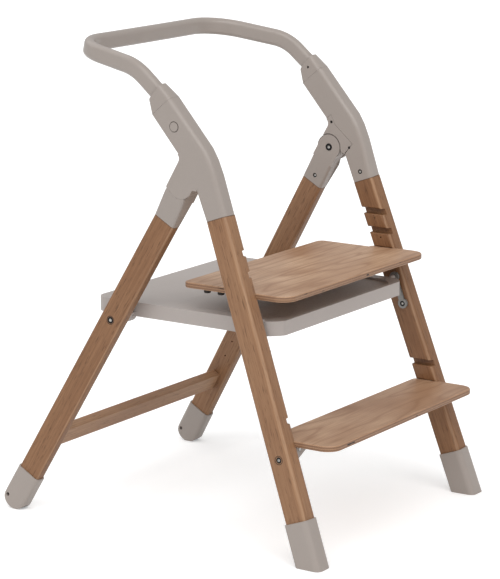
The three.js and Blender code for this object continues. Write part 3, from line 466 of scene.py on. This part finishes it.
def layeredBoard(name, look, low, high, shift):
    material, tree, surface = newMaterial(name, Specular_IOR_Level=look["specular"])
    cloud, swell, streak, ends, holes = (
        noiseAt(tree, look[layer], shift)
        for layer in ("cloud", "swell", "streak", "ends", "holes")
    )
    flame = calculate(tree, "PINGPONG", times(tree, swell, look["flameRings"]), 1.0)
    share = ramp(tree, cloud, look["cloud"]["stops"])
    veneer = mixColours(tree, share, look["pale"], look["warm"])
    veneer = mixColours(tree, coverOf(tree, flame, look["flame"]), veneer, look["figure"])
    veneer = mixColours(tree, coverOf(tree, streak, look["streak"]), veneer, look["figure"])
    height = axesOf(tree, coordinate(tree, "Object"))["Z"]
    level = mapRange(tree, height, (low, high), (0.0, 1.0))
    upright = calculate(tree, "ABSOLUTE", axesOf(tree, coordinate(tree, "Normal"))["Z"])
    side = ramp(tree, upright, look["sideStops"])
    veneer = mixColours(tree, times(tree, side, look["edgeShare"]), veneer, look["edge"])
    endGrain = mixColours(tree, ends, look["endPale"], look["endDark"])
    plies = times(tree, ramp(tree, level, look["plies"], "CONSTANT"), look["plyShare"])
    colour = mixColours(tree, plies, veneer, endGrain)
    inside = ramp(tree, level, look["innerPlies"], "CONSTANT")
    voids = times(tree, inside, side, ramp(tree, holes, look["holeStops"]))
    colour = mixColours(tree, voids, colour, look["void"])
    normal = bumpFrom(tree, streak, look["grainDepth"])
    gloss = spread(tree, streak, look["gloss"])
    connect(tree, surface, Base_Color=colour, Roughness=gloss, Normal=normal)
    return material


# Steel and rubber

steelLook = {
    "specular": 0.3,
    "blotch": {"scale": 260, "detail": 3},
    "grain": {"scale": 1800},
    "grainDepth": 0.00004,
}
screwLook = steelLook | {
    "colours": (tone(222, 220, 216), tone(196, 194, 190)),
    "metallic": 0.55,
    "gloss": (0.28, 0.42),
    # a painted glint inside, painted shadow of the hole round the rim
    "rings": [(0.0, 0.4), (0.14, 1.0), (0.4, 0.95), (0.52, 0.04), (1.0, 0.02)],
}
blackLook = steelLook | {
    "colours": (tone(226, 225, 222), tone(205, 203, 200)),
    "metallic": 0.0,
    "gloss": (0.5, 0.62),
    # a painted glint in the middle; outside it the head is made black, the steel's own colour
    "rings": [(0.0, 1.0), (0.34, 0.95), (0.44, 0.012), (1.0, 0.006)],
}
wireLook = steelLook | {
    "colours": (tone(188, 187, 185), tone(160, 159, 157)),
    "metallic": 1.0,
    "gloss": (0.2, 0.3),
}
rubberLook = {
    "specular": 0.3,
    "blotch": {"scale": 300, "detail": 4},
    "grain": {"scale": 1500},
    "grainDepth": 0.00008,
    "colours": (tone(38, 35, 33), tone(58, 54, 51)),
    "metallic": 0.0,
    "gloss": (0.6, 0.85),
}


def headGlintRings(tree, stops):
    # Each screw's head carries its own place across the axis: the middle is 0, the rim 1. The
    # rings over it paint a glint, and on the zinc screws a shadow round the rim.
    across = addNode(tree, "ShaderNodeAttribute", {}, attribute_name="acrossHead")
    inputs = {0: across.outputs["Vector"]}
    share = addNode(tree, "ShaderNodeVectorMath", inputs, operation="LENGTH")
    return ramp(tree, share.outputs["Value"], stops)


def blotchedSkin(name, look):
    finish = {"Metallic": look["metallic"], "Specular_IOR_Level": look["specular"]}
    material, tree, surface = newMaterial(name, **finish)
    blotch = noiseAt(tree, look["blotch"])
    colour = mixColours(tree, blotch, *look["colours"])
    if "rings" in look:
        colour = mixColours(tree, 1.0, colour, headGlintRings(tree, look["rings"]), "MULTIPLY")
    gloss = spread(tree, blotch, look["gloss"])
    normal = bumpFrom(tree, noiseAt(tree, look["grain"]), look["grainDepth"])
    connect(tree, surface, Base_Color=colour, Roughness=gloss, Normal=normal)
    return material


slotLooks = {
    "moulded_plastic": mouldedPlastic("bracketPlastic", bracketLook),
    "platform_plastic": mouldedPlastic("platformPlastic", platformLook),
    "screw_steel": blotchedSkin("zincSteel", screwLook),
    "dark_steel": blotchedSkin("blackSteel", blackLook),
    "spring_steel": blotchedSkin("springWire", wireLook),
    "soft_rubber": blotchedSkin("softRubber", rubberLook),
}
capPlastic = mouldedPlastic("capPlastic", capLook)
seamPlastic = mouldedPlastic("seamPlastic", seamShadeLook)

# Each leg's wood gets a painted shade of its own, darker for the legs that lie in more shade

paintedLegShades = {
    "front_leg_right": 0.77,
    "front_leg_left": 0.95,
    "rear_leg_right": 0.88,
    "rear_leg_left": 0.82,
}
legShift = (0.17, 0.11, 0.53)  # from one leg's wood to the next
legEnd = 0.03  # as much of a leg as counts as its end
legFittings = {
    # The joint is where the cap ends, from the hinge and on the right.
    "front": {"joint": (0.2532, -0.0775, -0.0567), "bolt": "footrest_bolt"},
    "rear": {"joint": (0.2521, 0.042, -0.0734), "bolt": "platform_bolt"},
}
crossbarGrain = {"along": (1, 0, 0), "shift": (0.31, 0.12, 0.4), "shade": 1.12}


def lineOf(name):
    points = [v.co for v in cadNodes[name].data.vertices]
    heights = [p.z for p in points]
    middles = []
    for edge in (max(heights), min(heights)):
        near = [p for p in points if abs(p.z - edge) < legEnd]
        middles.append(sum(near, Vector()) / len(near))
    return (middles[0] - middles[1]).normalized()


def woodOf(leg, step):
    end, _, side = leg.split("_")
    fittings = legFittings[end]
    joint = Vector(fittings["joint"])
    joint.x *= 1 if side == "right" else -1
    bolt = f"{fittings['bolt']}_{side}"
    shift = [part * step for part in legShift]
    return legWood(f"{leg}Wood", legLook, lineOf(leg), shift, paintedLegShades[leg], joint + hinge, bolt)


woodLooks = {leg: woodOf(leg, step) for step, leg in enumerate(paintedLegShades)}
crossbarLine = Vector(crossbarGrain["along"])
woodLooks["crossbar"] = legWood(
    "crossbarWood", legLook, crossbarLine, crossbarGrain["shift"], crossbarGrain["shade"]
)
print("materials made:", len(slotLooks) + len(woodLooks))

# Shapes

hair = 0.00001  # places nearer than this are the same
secondMaterial = 1
copyShape = {"weld": 0.00002, "flat": math.radians(0.4)}
shadingLook = {"smoothest": math.radians(40), "weight": 60}


def cadCopy(name):
    shape = bmesh.new()
    shape.from_mesh(cadNodes[name].data)
    bmesh.ops.remove_doubles(shape, verts=shape.verts, dist=copyShape["weld"])
    bmesh.ops.dissolve_limit(
        shape,
        angle_limit=copyShape["flat"],
        use_dissolve_boundaries=False,
        verts=shape.verts,
        edges=shape.edges,
    )
    return shape


def everyPart(shape):
    return [*shape.verts, *shape.edges, *shape.faces]


def vertsIn(made):
    return [part for part in made if isinstance(part, bmesh.types.BMVert)]


def edgesIn(made):
    return [part for part in made if isinstance(part, bmesh.types.BMEdge)]


def roundOff(shape, chosen, offset, segments, affect="EDGES"):
    bmesh.ops.bevel(
        shape,
        geom=chosen,
        offset=offset,
        affect=affect,
        segments=segments,
        profile=0.5,
        material=-1,
        clamp_overlap=affect == "EDGES",
    )


def steepEdges(edges, steepest):
    return [e for e in edges if len(e.link_faces) == 2 and e.calc_face_angle() > steepest]


def plainName(node):
    words = node.split("_")
    return words[0] + "".join(word.capitalize() for word in words[1:])


def finishPiece(shape, name, node, material, edge=None):
    mesh = bpy.data.meshes.new(name)
    shape.to_mesh(mesh)
    shape.free()
    mesh.materials.append(material)
    mesh.shade_smooth()
    piece = bpy.data.objects.new(name, mesh)
    bpy.context.scene.collection.objects.link(piece)
    if edge:
        bevel = piece.modifiers.new("edges", "BEVEL")
        bevel.width = edge["width"]
        bevel.segments = edge.get("segments", 2)
        bevel.limit_method = "ANGLE"
        bevel.angle_limit = shadingLook["smoothest"]
        bevel.miter_outer = "MITER_ARC"
        # the eased edge takes the painted seam shade
        if "seam" in edge:
            mesh.materials.append(edge["seam"])
            bevel.material = secondMaterial
    else:
        mesh.set_sharp_from_angle(angle=shadingLook["smoothest"])
    weighted = piece.modifiers.new("shading", "WEIGHTED_NORMAL")
    weighted.keep_sharp = not edge
    weighted.mode = "FACE_AREA"
    weighted.weight = shadingLook["weight"]
    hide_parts(node)
    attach(piece, cadNodes[node]["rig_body"])
    return piece


# Rail: half of it is swept from the socket to the middle of the back, then mirrored

railShape = {
    "width": 0.020,
    "depth": 0.033,
    "round": 0.0096,
    "lean": math.radians(50.2),
    "toe": math.radians(1.24),
    "entry": 0.087,  # from the shoulder's corner down into the socket
    "shoulder": (0.2525, 0.1088, 0.2004),  # from the hinge
    "shoulderBend": 0.094,
    "corner": (0.2221, 0.2667, 0.2261),
    "cornerBend": 0.0816,
    "middle": (0, 0.2703, 0.2246),
    "sides": 32,
    "bendSteps": 16,
    "middleSteps": 10,
    "mirrorWeld": 0.0002,
    "weld": 0.0001,
}


def railSection(look, foot, heading):
    # An oval: a circle, pulled apart into two halves.
    shape = bmesh.new()
    bmesh.ops.create_circle(shape, segments=look["sides"], radius=look["round"])
    halfSide = Matrix.Rotation(math.pi / look["sides"], 3, "Z")
    bmesh.ops.rotate(shape, cent=(0, 0, 0), matrix=halfSide, verts=shape.verts)
    narrower = look["width"] / 2 / look["round"]
    bmesh.ops.scale(shape, vec=(narrower, 1, 1), verts=shape.verts)
    apart = look["depth"] / 2 - look["round"]
    for side in (-1, 1):
        half = [v for v in shape.verts if v.co.y * side > 0]
        bmesh.ops.translate(shape, vec=(0, apart * side, 0), verts=half)
    across = Vector((1, 0, 0))
    across = (across - heading * across.dot(heading)).normalized()
    turn = Matrix((across, heading.cross(across), heading)).transposed().to_4x4()
    bmesh.ops.transform(shape, matrix=Matrix.Translation(foot) @ turn, verts=shape.verts)
    return shape


def bendStops(before, corner, after, radius, steps):
    inward, onward = (corner - before).normalized(), (after - corner).normalized()
    turn = inward.angle(onward)
    reach = radius * math.tan(turn / 2)
    side = (onward - inward * onward.dot(inward)).normalized()
    start = corner - inward * reach
    stops = []
    for step in range(steps + 1):
        angle = turn * step / steps
        point = start + inward * radius * math.sin(angle) + side * radius * (1 - math.cos(angle))
        stops.append((point, inward * math.cos(angle) + side * math.sin(angle)))
    return stops


def backStops(last, middle, steps):
    # Half of a flat curve from one corner of the back to the other.
    far = Vector((-last.x, last.y, last.z))
    stops = []
    for step in range(1, steps + 1):
        t = step / steps / 2
        point = last * (1 - t) ** 2 + middle * 2 * t * (1 - t) + far * t**2
        onward = ((middle - last) * (1 - t) + (far - middle) * t).normalized()
        stops.append((point, onward))
    return stops


def sweep(shape, edges, start, direction, stops):
    centre, heading = start, direction
    for point, onward in stops:
        made = bmesh.ops.extrude_edge_only(shape, edges=edges)["geom"]
        edges, verts = edgesIn(made), vertsIn(made)
        turn = heading.rotation_difference(onward).to_matrix()
        bmesh.ops.rotate(shape, cent=centre, matrix=turn, verts=verts)
        bmesh.ops.translate(shape, vec=point - centre, verts=verts)
        centre, heading = point, onward


def makeRail():
    look = railShape
    shoulder, corner, middle = (
        Vector(look[key]) + hinge for key in ("shoulder", "corner", "middle")
    )
    down = Vector((math.tan(look["toe"]), -math.sin(look["lean"]), -math.cos(look["lean"])))
    foot = shoulder + down * look["entry"]
    heading = (shoulder - foot).normalized()
    shape = railSection(look, foot, heading)
    edges = list(shape.edges)
    bmesh.ops.contextual_create(shape, geom=edges)
    stops = bendStops(foot, shoulder, corner, look["shoulderBend"], look["bendSteps"])
    stops += bendStops(shoulder, corner, middle, look["cornerBend"], look["bendSteps"])
    stops += backStops(stops[-1][0], middle, look["middleSteps"])
    sweep(shape, edges, foot, heading, stops)
    bmesh.ops.mirror(shape, geom=everyPart(shape), axis="X", merge_dist=look["mirrorWeld"])
    bmesh.ops.remove_doubles(shape, verts=shape.verts, dist=look["weld"])
    bmesh.ops.recalc_face_normals(shape, faces=shape.faces)
    return shape


finishPiece(makeRail(), "railBar", "rail", slotLooks["moulded_plastic"])
print("rail made")

# Boards: a flat outline with its corners rounded, thickened, and its edges eased

boardShape = {
    "rear": 0.014,
    "cornerSteps": 10,
    "ease": 0.0026,
    "easeSteps": 4,
    "steepest": math.radians(60),
}
seatShape = boardShape | {
    "front": 0.030,
    "forward": 0.004,
    "narrow": 0.2367,
    "shoulder": 0.010,
    "shoulderBehind": 0.120,  # behind the front edge in the frame
    "grainShift": (0.37, 0.21, 0.1),
}
footrestShape = boardShape | {
    "front": 0.029,
    "forward": 0.0067,
    "grainShift": (1.13, 0.64, 0.7),
}


def thicken(shape, look, thickness):
    made = bmesh.ops.extrude_face_region(shape, geom=shape.faces[:])["geom"]
    bmesh.ops.translate(shape, vec=(0, 0, -thickness), verts=vertsIn(made))
    bmesh.ops.recalc_face_normals(shape, faces=shape.faces)
    rims = steepEdges(shape.edges, look["steepest"])
    roundOff(shape, rims, look["ease"], look["easeSteps"])


def roundCorners(shape, look, corner, chosen):
    verts = [v for v in shape.verts if chosen(v.co)]
    roundOff(shape, verts, look[corner], look["cornerSteps"], "VERTICES")


def makeBoard(node, look):
    low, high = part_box(node)
    front, rear = low.y - look["forward"], high.y
    outline = [(high.x, front), (high.x, rear)]
    narrow = look.get("narrow")
    if narrow:
        waist = low.y + look["shoulderBehind"]
        outline[1:] = [(high.x, waist), (narrow, waist), (narrow, rear)]
    outline += [(-x, y) for x, y in reversed(outline)]
    shape = bmesh.new()
    shape.faces.new([shape.verts.new((x, y, high.z)) for x, y in outline])
    if narrow:
        roundCorners(
            shape,
            look,
            "shoulder",
            lambda co: abs(co.y - waist) < hair and abs(co.x) > narrow + hair,
        )
    roundCorners(shape, look, "front", lambda co: co.y < front + hair)
    roundCorners(shape, look, "rear", lambda co: co.y > rear - hair)
    thicken(shape, look, high.z - low.z)
    return shape


for node, look in (("seat_board", seatShape), ("footrest_board", footrestShape)):
    low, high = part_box(node)
    veneer = layeredBoard(f"{node}Veneer", boardLook, low.z, high.z, look["grainShift"])
    finishPiece(makeBoard(node, look), plainName(node), node, veneer)
print("boards made")

# The platform: its hollow runs out towards the rear, its wall is a little lower, its rim is round

platformShape = {
    "top": 0.4206,
    "topSlack": 0.00002,
    "dish": 0.005,  # the hollow's depth in front
    "dishSlack": 0.0001,
    "dishLeft": 0.00003,  # its depth at the rear
    "wall": 0.0294,
    "wallSlack": 0.0002,
    "lift": 0.0024,
    "rim": 0.003,
    "rimSteps": 4,
    "steepest": math.radians(60),
}


def easePlatform(shape):
    look = platformShape
    top = look["top"]
    bmesh.ops.triangulate(shape, faces=shape.faces)
    dish = [v for v in shape.verts if abs(v.co.z - (top - look["dish"])) < look["dishSlack"]]
    front, rear = min(v.co.y for v in dish), max(v.co.y for v in dish)
    for v in dish:
        share = (v.co.y - front) / (rear - front)
        v.co.z += (look["dish"] - look["dishLeft"]) * share
    for v in shape.verts:
        if abs(v.co.z - (top - look["wall"])) < look["wallSlack"]:
            v.co.z += look["lift"]
    level = [
        e for e in shape.edges if all(abs(v.co.z - top) < look["topSlack"] for v in e.verts)
    ]
    roundOff(shape, steepEdges(level, look["steepest"]), look["rim"], look["rimSteps"])


# Hinge walls: outside, the bracket's wall and the cap under it lie nearer to the bolt

lobeShape = {
    "radius": 0.0315,
    "slack": 0.0006,
    "inward": 0.0043,
    "outside": 0.2604,
    "rearward": (0, math.cos(rearLean), math.sin(rearLean)),  # square to the rear leg
    "fade": (0.45, 0.75),  # the rear edge stays in line with the leg's
}


def drawIn(shape):
    look = lobeShape
    start, end = look["fade"]
    for v in shape.verts:
        spoke = Vector((0, v.co.y - hinge.y, v.co.z - hinge.z))
        onWall = abs(spoke.length - look["radius"]) < look["slack"]
        if onWall and abs(v.co.x) > look["outside"]:
            behind = spoke.normalized().dot(Vector(look["rearward"]))
            share = min(1, max(0, (end - behind) / (end - start)))
            v.co -= spoke.normalized() * look["inward"] * share


# The empty grooves bite right through the front legs' edges

grooveShape = {
    "heights": (0.2476, 0.5012, 0.538),
    "tall": 0.0118,
    "rest": 0.0003,  # left of the shallower groove above and below
    "depth": 0.0128,
    "inner": 0.2346,  # the leg's inner face at its top
    "top": 0.6043,
    "splay": math.radians(2.89),
    "below": -1.0,  # well under and well over the leg
    "above": 2.0,
    "level": 0.999,
    "weld": 0.00003,
}


def isLevel(face):
    return abs(face.normal.z) > grooveShape["level"]


def cutAway(shape, place, direction):
    cut = bmesh.ops.bisect_plane(
        shape, geom=everyPart(shape), plane_co=place, plane_no=direction, clear_inner=True
    )
    edges = edgesIn(cut["geom_cut"])
    return bmesh.ops.edgeloop_fill(shape, edges=edges)["faces"] if edges else []


def dropCaps(shape, caps, side, floor):
    # Only the part of a cap that the groove lays bare stays.
    verts = {v for face in caps for v in face.verts}
    edges = {e for face in caps for e in face.edges}
    levels = [face.calc_center_median().z for face in caps]
    bmesh.ops.bisect_plane(
        shape, geom=[*verts, *edges, *caps], plane_co=(side * floor, 0, 0), plane_no=(side, 0, 0)
    )
    hidden = []
    for face in filter(isLevel, shape.faces):
        middle = face.calc_center_median()
        atCap = any(abs(middle.z - z) < hair for z in levels)
        if atCap and middle.x * side > floor:
            hidden.append(face)
    bmesh.ops.delete(shape, geom=hidden, context="FACES")


def grooveFloor(level):
    look = grooveShape
    groove = min(look["heights"], key=lambda height: abs(height - level))
    face = look["inner"] + (look["top"] - groove) * math.tan(look["splay"])
    return face + look["depth"]


def deepenGrooves(shape, side):
    # The leg is cut into slabs, whole ones and grooved ones by turns, and welded again.
    look = grooveShape
    marks = [look["below"]]
    for height in look["heights"]:
        marks += [height + look["rest"], height + look["tall"] - look["rest"]]
    marks.append(look["above"])
    joined = bmesh.new()
    for step, (low, high) in enumerate(zip(marks, marks[1:])):
        part = shape.copy()
        ends = {
            low: cutAway(part, (0, 0, low), (0, 0, 1)),
            high: cutAway(part, (0, 0, high), (0, 0, -1)),
        }
        if step % 2:
            cutAway(part, (side * grooveFloor(low), 0, 0), (side, 0, 0))
            caps = list(filter(isLevel, part.faces))
            bmesh.ops.delete(part, geom=caps, context="FACES")
        else:
            for level, caps in ends.items():
                if caps:
                    dropCaps(part, caps, side, grooveFloor(level))
        slab = bpy.data.meshes.new("slab")
        part.to_mesh(slab)
        part.free()
        joined.from_mesh(slab)
        bpy.data.meshes.remove(slab)
    shape.free()
    bmesh.ops.remove_doubles(joined, verts=joined.verts, dist=look["weld"])
    return joined


# The footrest's clamps taper to nothing towards the middle, with a nut in front

wedgeShape = {
    "reach": 0.034,
    "tip": 0.004,
    "nut": {
        "radius": 0.0038,
        "length": 0.005,
        "proud": 0.0016,
        "drop": 0.0055,
        "inset": 0.005,
        "sides": 20,
    },
}


def footrestWedge(node):
    low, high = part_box(node)
    side = 1 if low.x > 0 else -1
    shape = bmesh.new()
    bmesh.ops.create_cube(shape, size=1)
    bmesh.ops.scale(shape, vec=high - low, verts=shape.verts)
    bmesh.ops.translate(shape, vec=(low + high) / 2, verts=shape.verts)
    middle = (low.x + high.x) / 2
    inner = [v for v in shape.verts if (v.co.x - middle) * side < 0]
    bmesh.ops.translate(shape, vec=(-wedgeShape["reach"] * side, 0, 0), verts=inner)
    deep = [v for v in inner if v.co.z < (low.z + high.z) / 2]
    bmesh.ops.translate(shape, vec=(0, 0, high.z - low.z - wedgeShape["tip"]), verts=deep)
    nut = wedgeShape["nut"]
    near = low.x + nut["inset"] if side > 0 else high.x - nut["inset"]
    place = Vector((near, low.y - nut["proud"] + nut["length"] / 2, high.z - nut["drop"]))
    made = bmesh.ops.create_cone(
        shape,
        cap_ends=True,
        segments=nut["sides"],
        radius1=nut["radius"],
        radius2=nut["radius"],
        depth=nut["length"],
        matrix=Matrix.Translation(place) @ Matrix.Rotation(math.pi / 2, 4, "X"),
    )
    for face in {face for v in made["verts"] for face in v.link_faces}:
        face.material_index = secondMaterial
    return shape


# Screws and bolts: the widest flat end gives the axis, and the outline along it the middle


def markHead(shape):
    axis = max(shape.faces, key=lambda face: face.calc_area()).normal.copy()
    first = axis.orthogonal().normalized()
    second = axis.cross(first)
    spans = []
    for direction in (first, second):
        places = [v.co.dot(direction) for v in shape.verts]
        low, high = min(places), max(places)
        spans.append((direction, (low + high) / 2, (high - low) / 2))
    layer = shape.verts.layers.float_vector.new("acrossHead")
    for v in shape.verts:
        v[layer] = [(v.co.dot(way) - middle) / half for way, middle, half in spans] + [0]


# The other pieces: most start from their solids and get eased edges. The first kind that a
# piece's name starts with counts

edgeLooks = {
    "bracket": {"width": 0.0007},
    "rear_leg_cap": {"width": 0.0006},
    "rail_socket": {"width": 0.0007},
    "hinge_cover": {"width": 0.001, "seam": seamPlastic},
    # the hinge cover's and release button's eased rims take the painted seam shade
    "rear_leg": {"width": 0.0009},
    "crossbar": {"width": 0.0022, "segments": 3},
    "front_foot_cap": {"width": 0.0012, "segments": 3},
    "rear_foot_cap": {"width": 0.0009},
    "platform": {"width": 0.0012, "segments": 3},
    "release_button": {"width": 0.0005, "seam": seamPlastic},
    "footrest_clamp": {"width": 0.0012},
    "seat_knob": {"width": 0.0006},
    "rear_foot_pad": {"width": 0.0005},
}
smallEdge = {"width": 0.00025}


def dress(node):
    edge = next((edgeLooks[kind] for kind in edgeLooks if node.startswith(kind)), smallEdge)
    material = woodLooks.get(node) or slotLooks[slotOf[node]]
    if node.startswith("rear_leg_cap"):
        material = capPlastic
    shape = footrestWedge(node) if node.startswith("footrest_clamp") else cadCopy(node)
    if node.startswith(("bracket", "rear_leg_cap")):
        drawIn(shape)
    if node == "platform":
        easePlatform(shape)
    if node.startswith("front_leg"):
        # Eased edges would tear at the grooves.
        shape, edge = deepenGrooves(shape, 1 if node.endswith("right") else -1), None
    if "screw" in node or "bolt" in node:
        markHead(shape)
    piece = finishPiece(shape, plainName(node), node, material, edge)
    if node.startswith("footrest_clamp"):
        piece.data.materials.append(slotLooks["spring_steel"])


for node in sorted(cadNodes):
    if not cadNodes[node].hide_render:
        dress(node)

# Studio: a pale floor, even light from all round and three broad soft lamps

studio = {
    "floorSize": 24,
    "floorDrop": 0.0003,
    "floorColour": tone(246, 246, 246),
    "floorRoughness": 0.9,
    "floorLift": 0.3,  # how much the floor glows for the camera alone
    "skyStrength": 0.56,
}
lamps = {
    "keyLamp": {"from": (-0.66, -0.22, 0.78), "strength": 1.12, "softness": math.radians(50)},
    "frontLamp": {"from": (-0.3, -0.72, 0.62), "strength": 0.62, "softness": math.radians(32)},
    "fillLamp": {"from": (0.1, 0.7, 0.7), "strength": 0.5, "softness": math.radians(60)},
}
white = (1, 1, 1, 1)


def cameraRays(tree):
    return addNode(tree, "ShaderNodeLightPath", {}).outputs["Is Camera Ray"]


def makeFloor():
    finish = {"Roughness": studio["floorRoughness"], "Specular_IOR_Level": 0.0}
    material, tree, surface = newMaterial("paleFloor", **finish)
    surface.inputs["Base Color"].default_value = studio["floorColour"]
    surface.inputs["Emission Color"].default_value = white
    lift = times(tree, cameraRays(tree), studio["floorLift"])
    tree.links.new(lift, surface.inputs["Emission Strength"])
    shape = bmesh.new()
    bmesh.ops.create_grid(shape, x_segments=1, y_segments=1, size=studio["floorSize"] / 2)
    bmesh.ops.translate(shape, vec=(0, 0, -studio["floorDrop"]), verts=shape.verts)
    mesh = bpy.data.meshes.new("floor")
    shape.to_mesh(mesh)
    shape.free()
    mesh.materials.append(material)
    floor = bpy.data.objects.new("floor", mesh)
    bpy.context.scene.collection.objects.link(floor)


def makeSky():
    world = bpy.data.worlds.new("studio")
    bpy.context.scene.world = world
    world.use_nodes = True
    tree = world.node_tree
    sky = tree.nodes["Background"]
    sky.inputs["Color"].default_value = white
    strength = spread(tree, cameraRays(tree), (studio["skyStrength"], 1.0))
    tree.links.new(strength, sky.inputs["Strength"])


def makeLamp(name, look):
    lamp = bpy.data.lights.new(name, "SUN")
    lamp.energy = look["strength"]
    lamp.angle = look["softness"]
    placed = bpy.data.objects.new(name, lamp)
    placed.rotation_euler = Vector(look["from"]).to_track_quat("Z", "Y").to_euler()
    bpy.context.scene.collection.objects.link(placed)


makeFloor()
makeSky()
for name, look in lamps.items():
    makeLamp(name, look)

# Camera

viewpoint = {
    "place": (-4.0241, -2.6589, 1.4676),
    "azimuth": math.radians(-56.583),  # round the chair from straight in front
    "elevation": math.radians(12.248),
    "roll": math.radians(0.174),
    "lens": 161.2,
    "sensor": 36,
    "shift": (0.0020, -0.00507),
    "farthest": 60,
}


def makeCamera():
    azimuth, elevation = viewpoint["azimuth"], viewpoint["elevation"]
    level = math.cos(elevation)
    back = Vector((math.sin(azimuth) * level, -math.cos(azimuth) * level, math.sin(elevation)))
    right = (-back).cross(Vector((0, 0, 1))).normalized()
    turn = Matrix((right, back.cross(right), back)).transposed()
    camera = bpy.data.cameras.new("camera")
    camera.sensor_width = viewpoint["sensor"]
    camera.lens = viewpoint["lens"]
    camera.shift_x, camera.shift_y = viewpoint["shift"]
    camera.clip_end = viewpoint["farthest"]
    placed = bpy.data.objects.new("camera", camera)
    roll = Quaternion(back, viewpoint["roll"]).to_matrix()
    placed.matrix_world = Matrix.Translation(viewpoint["place"]) @ (roll @ turn).to_4x4()
    bpy.context.scene.collection.objects.link(placed)
    bpy.context.scene.camera = placed


makeCamera()
bpy.context.scene.view_settings.view_transform = "Standard"
print("studio and camera ready")
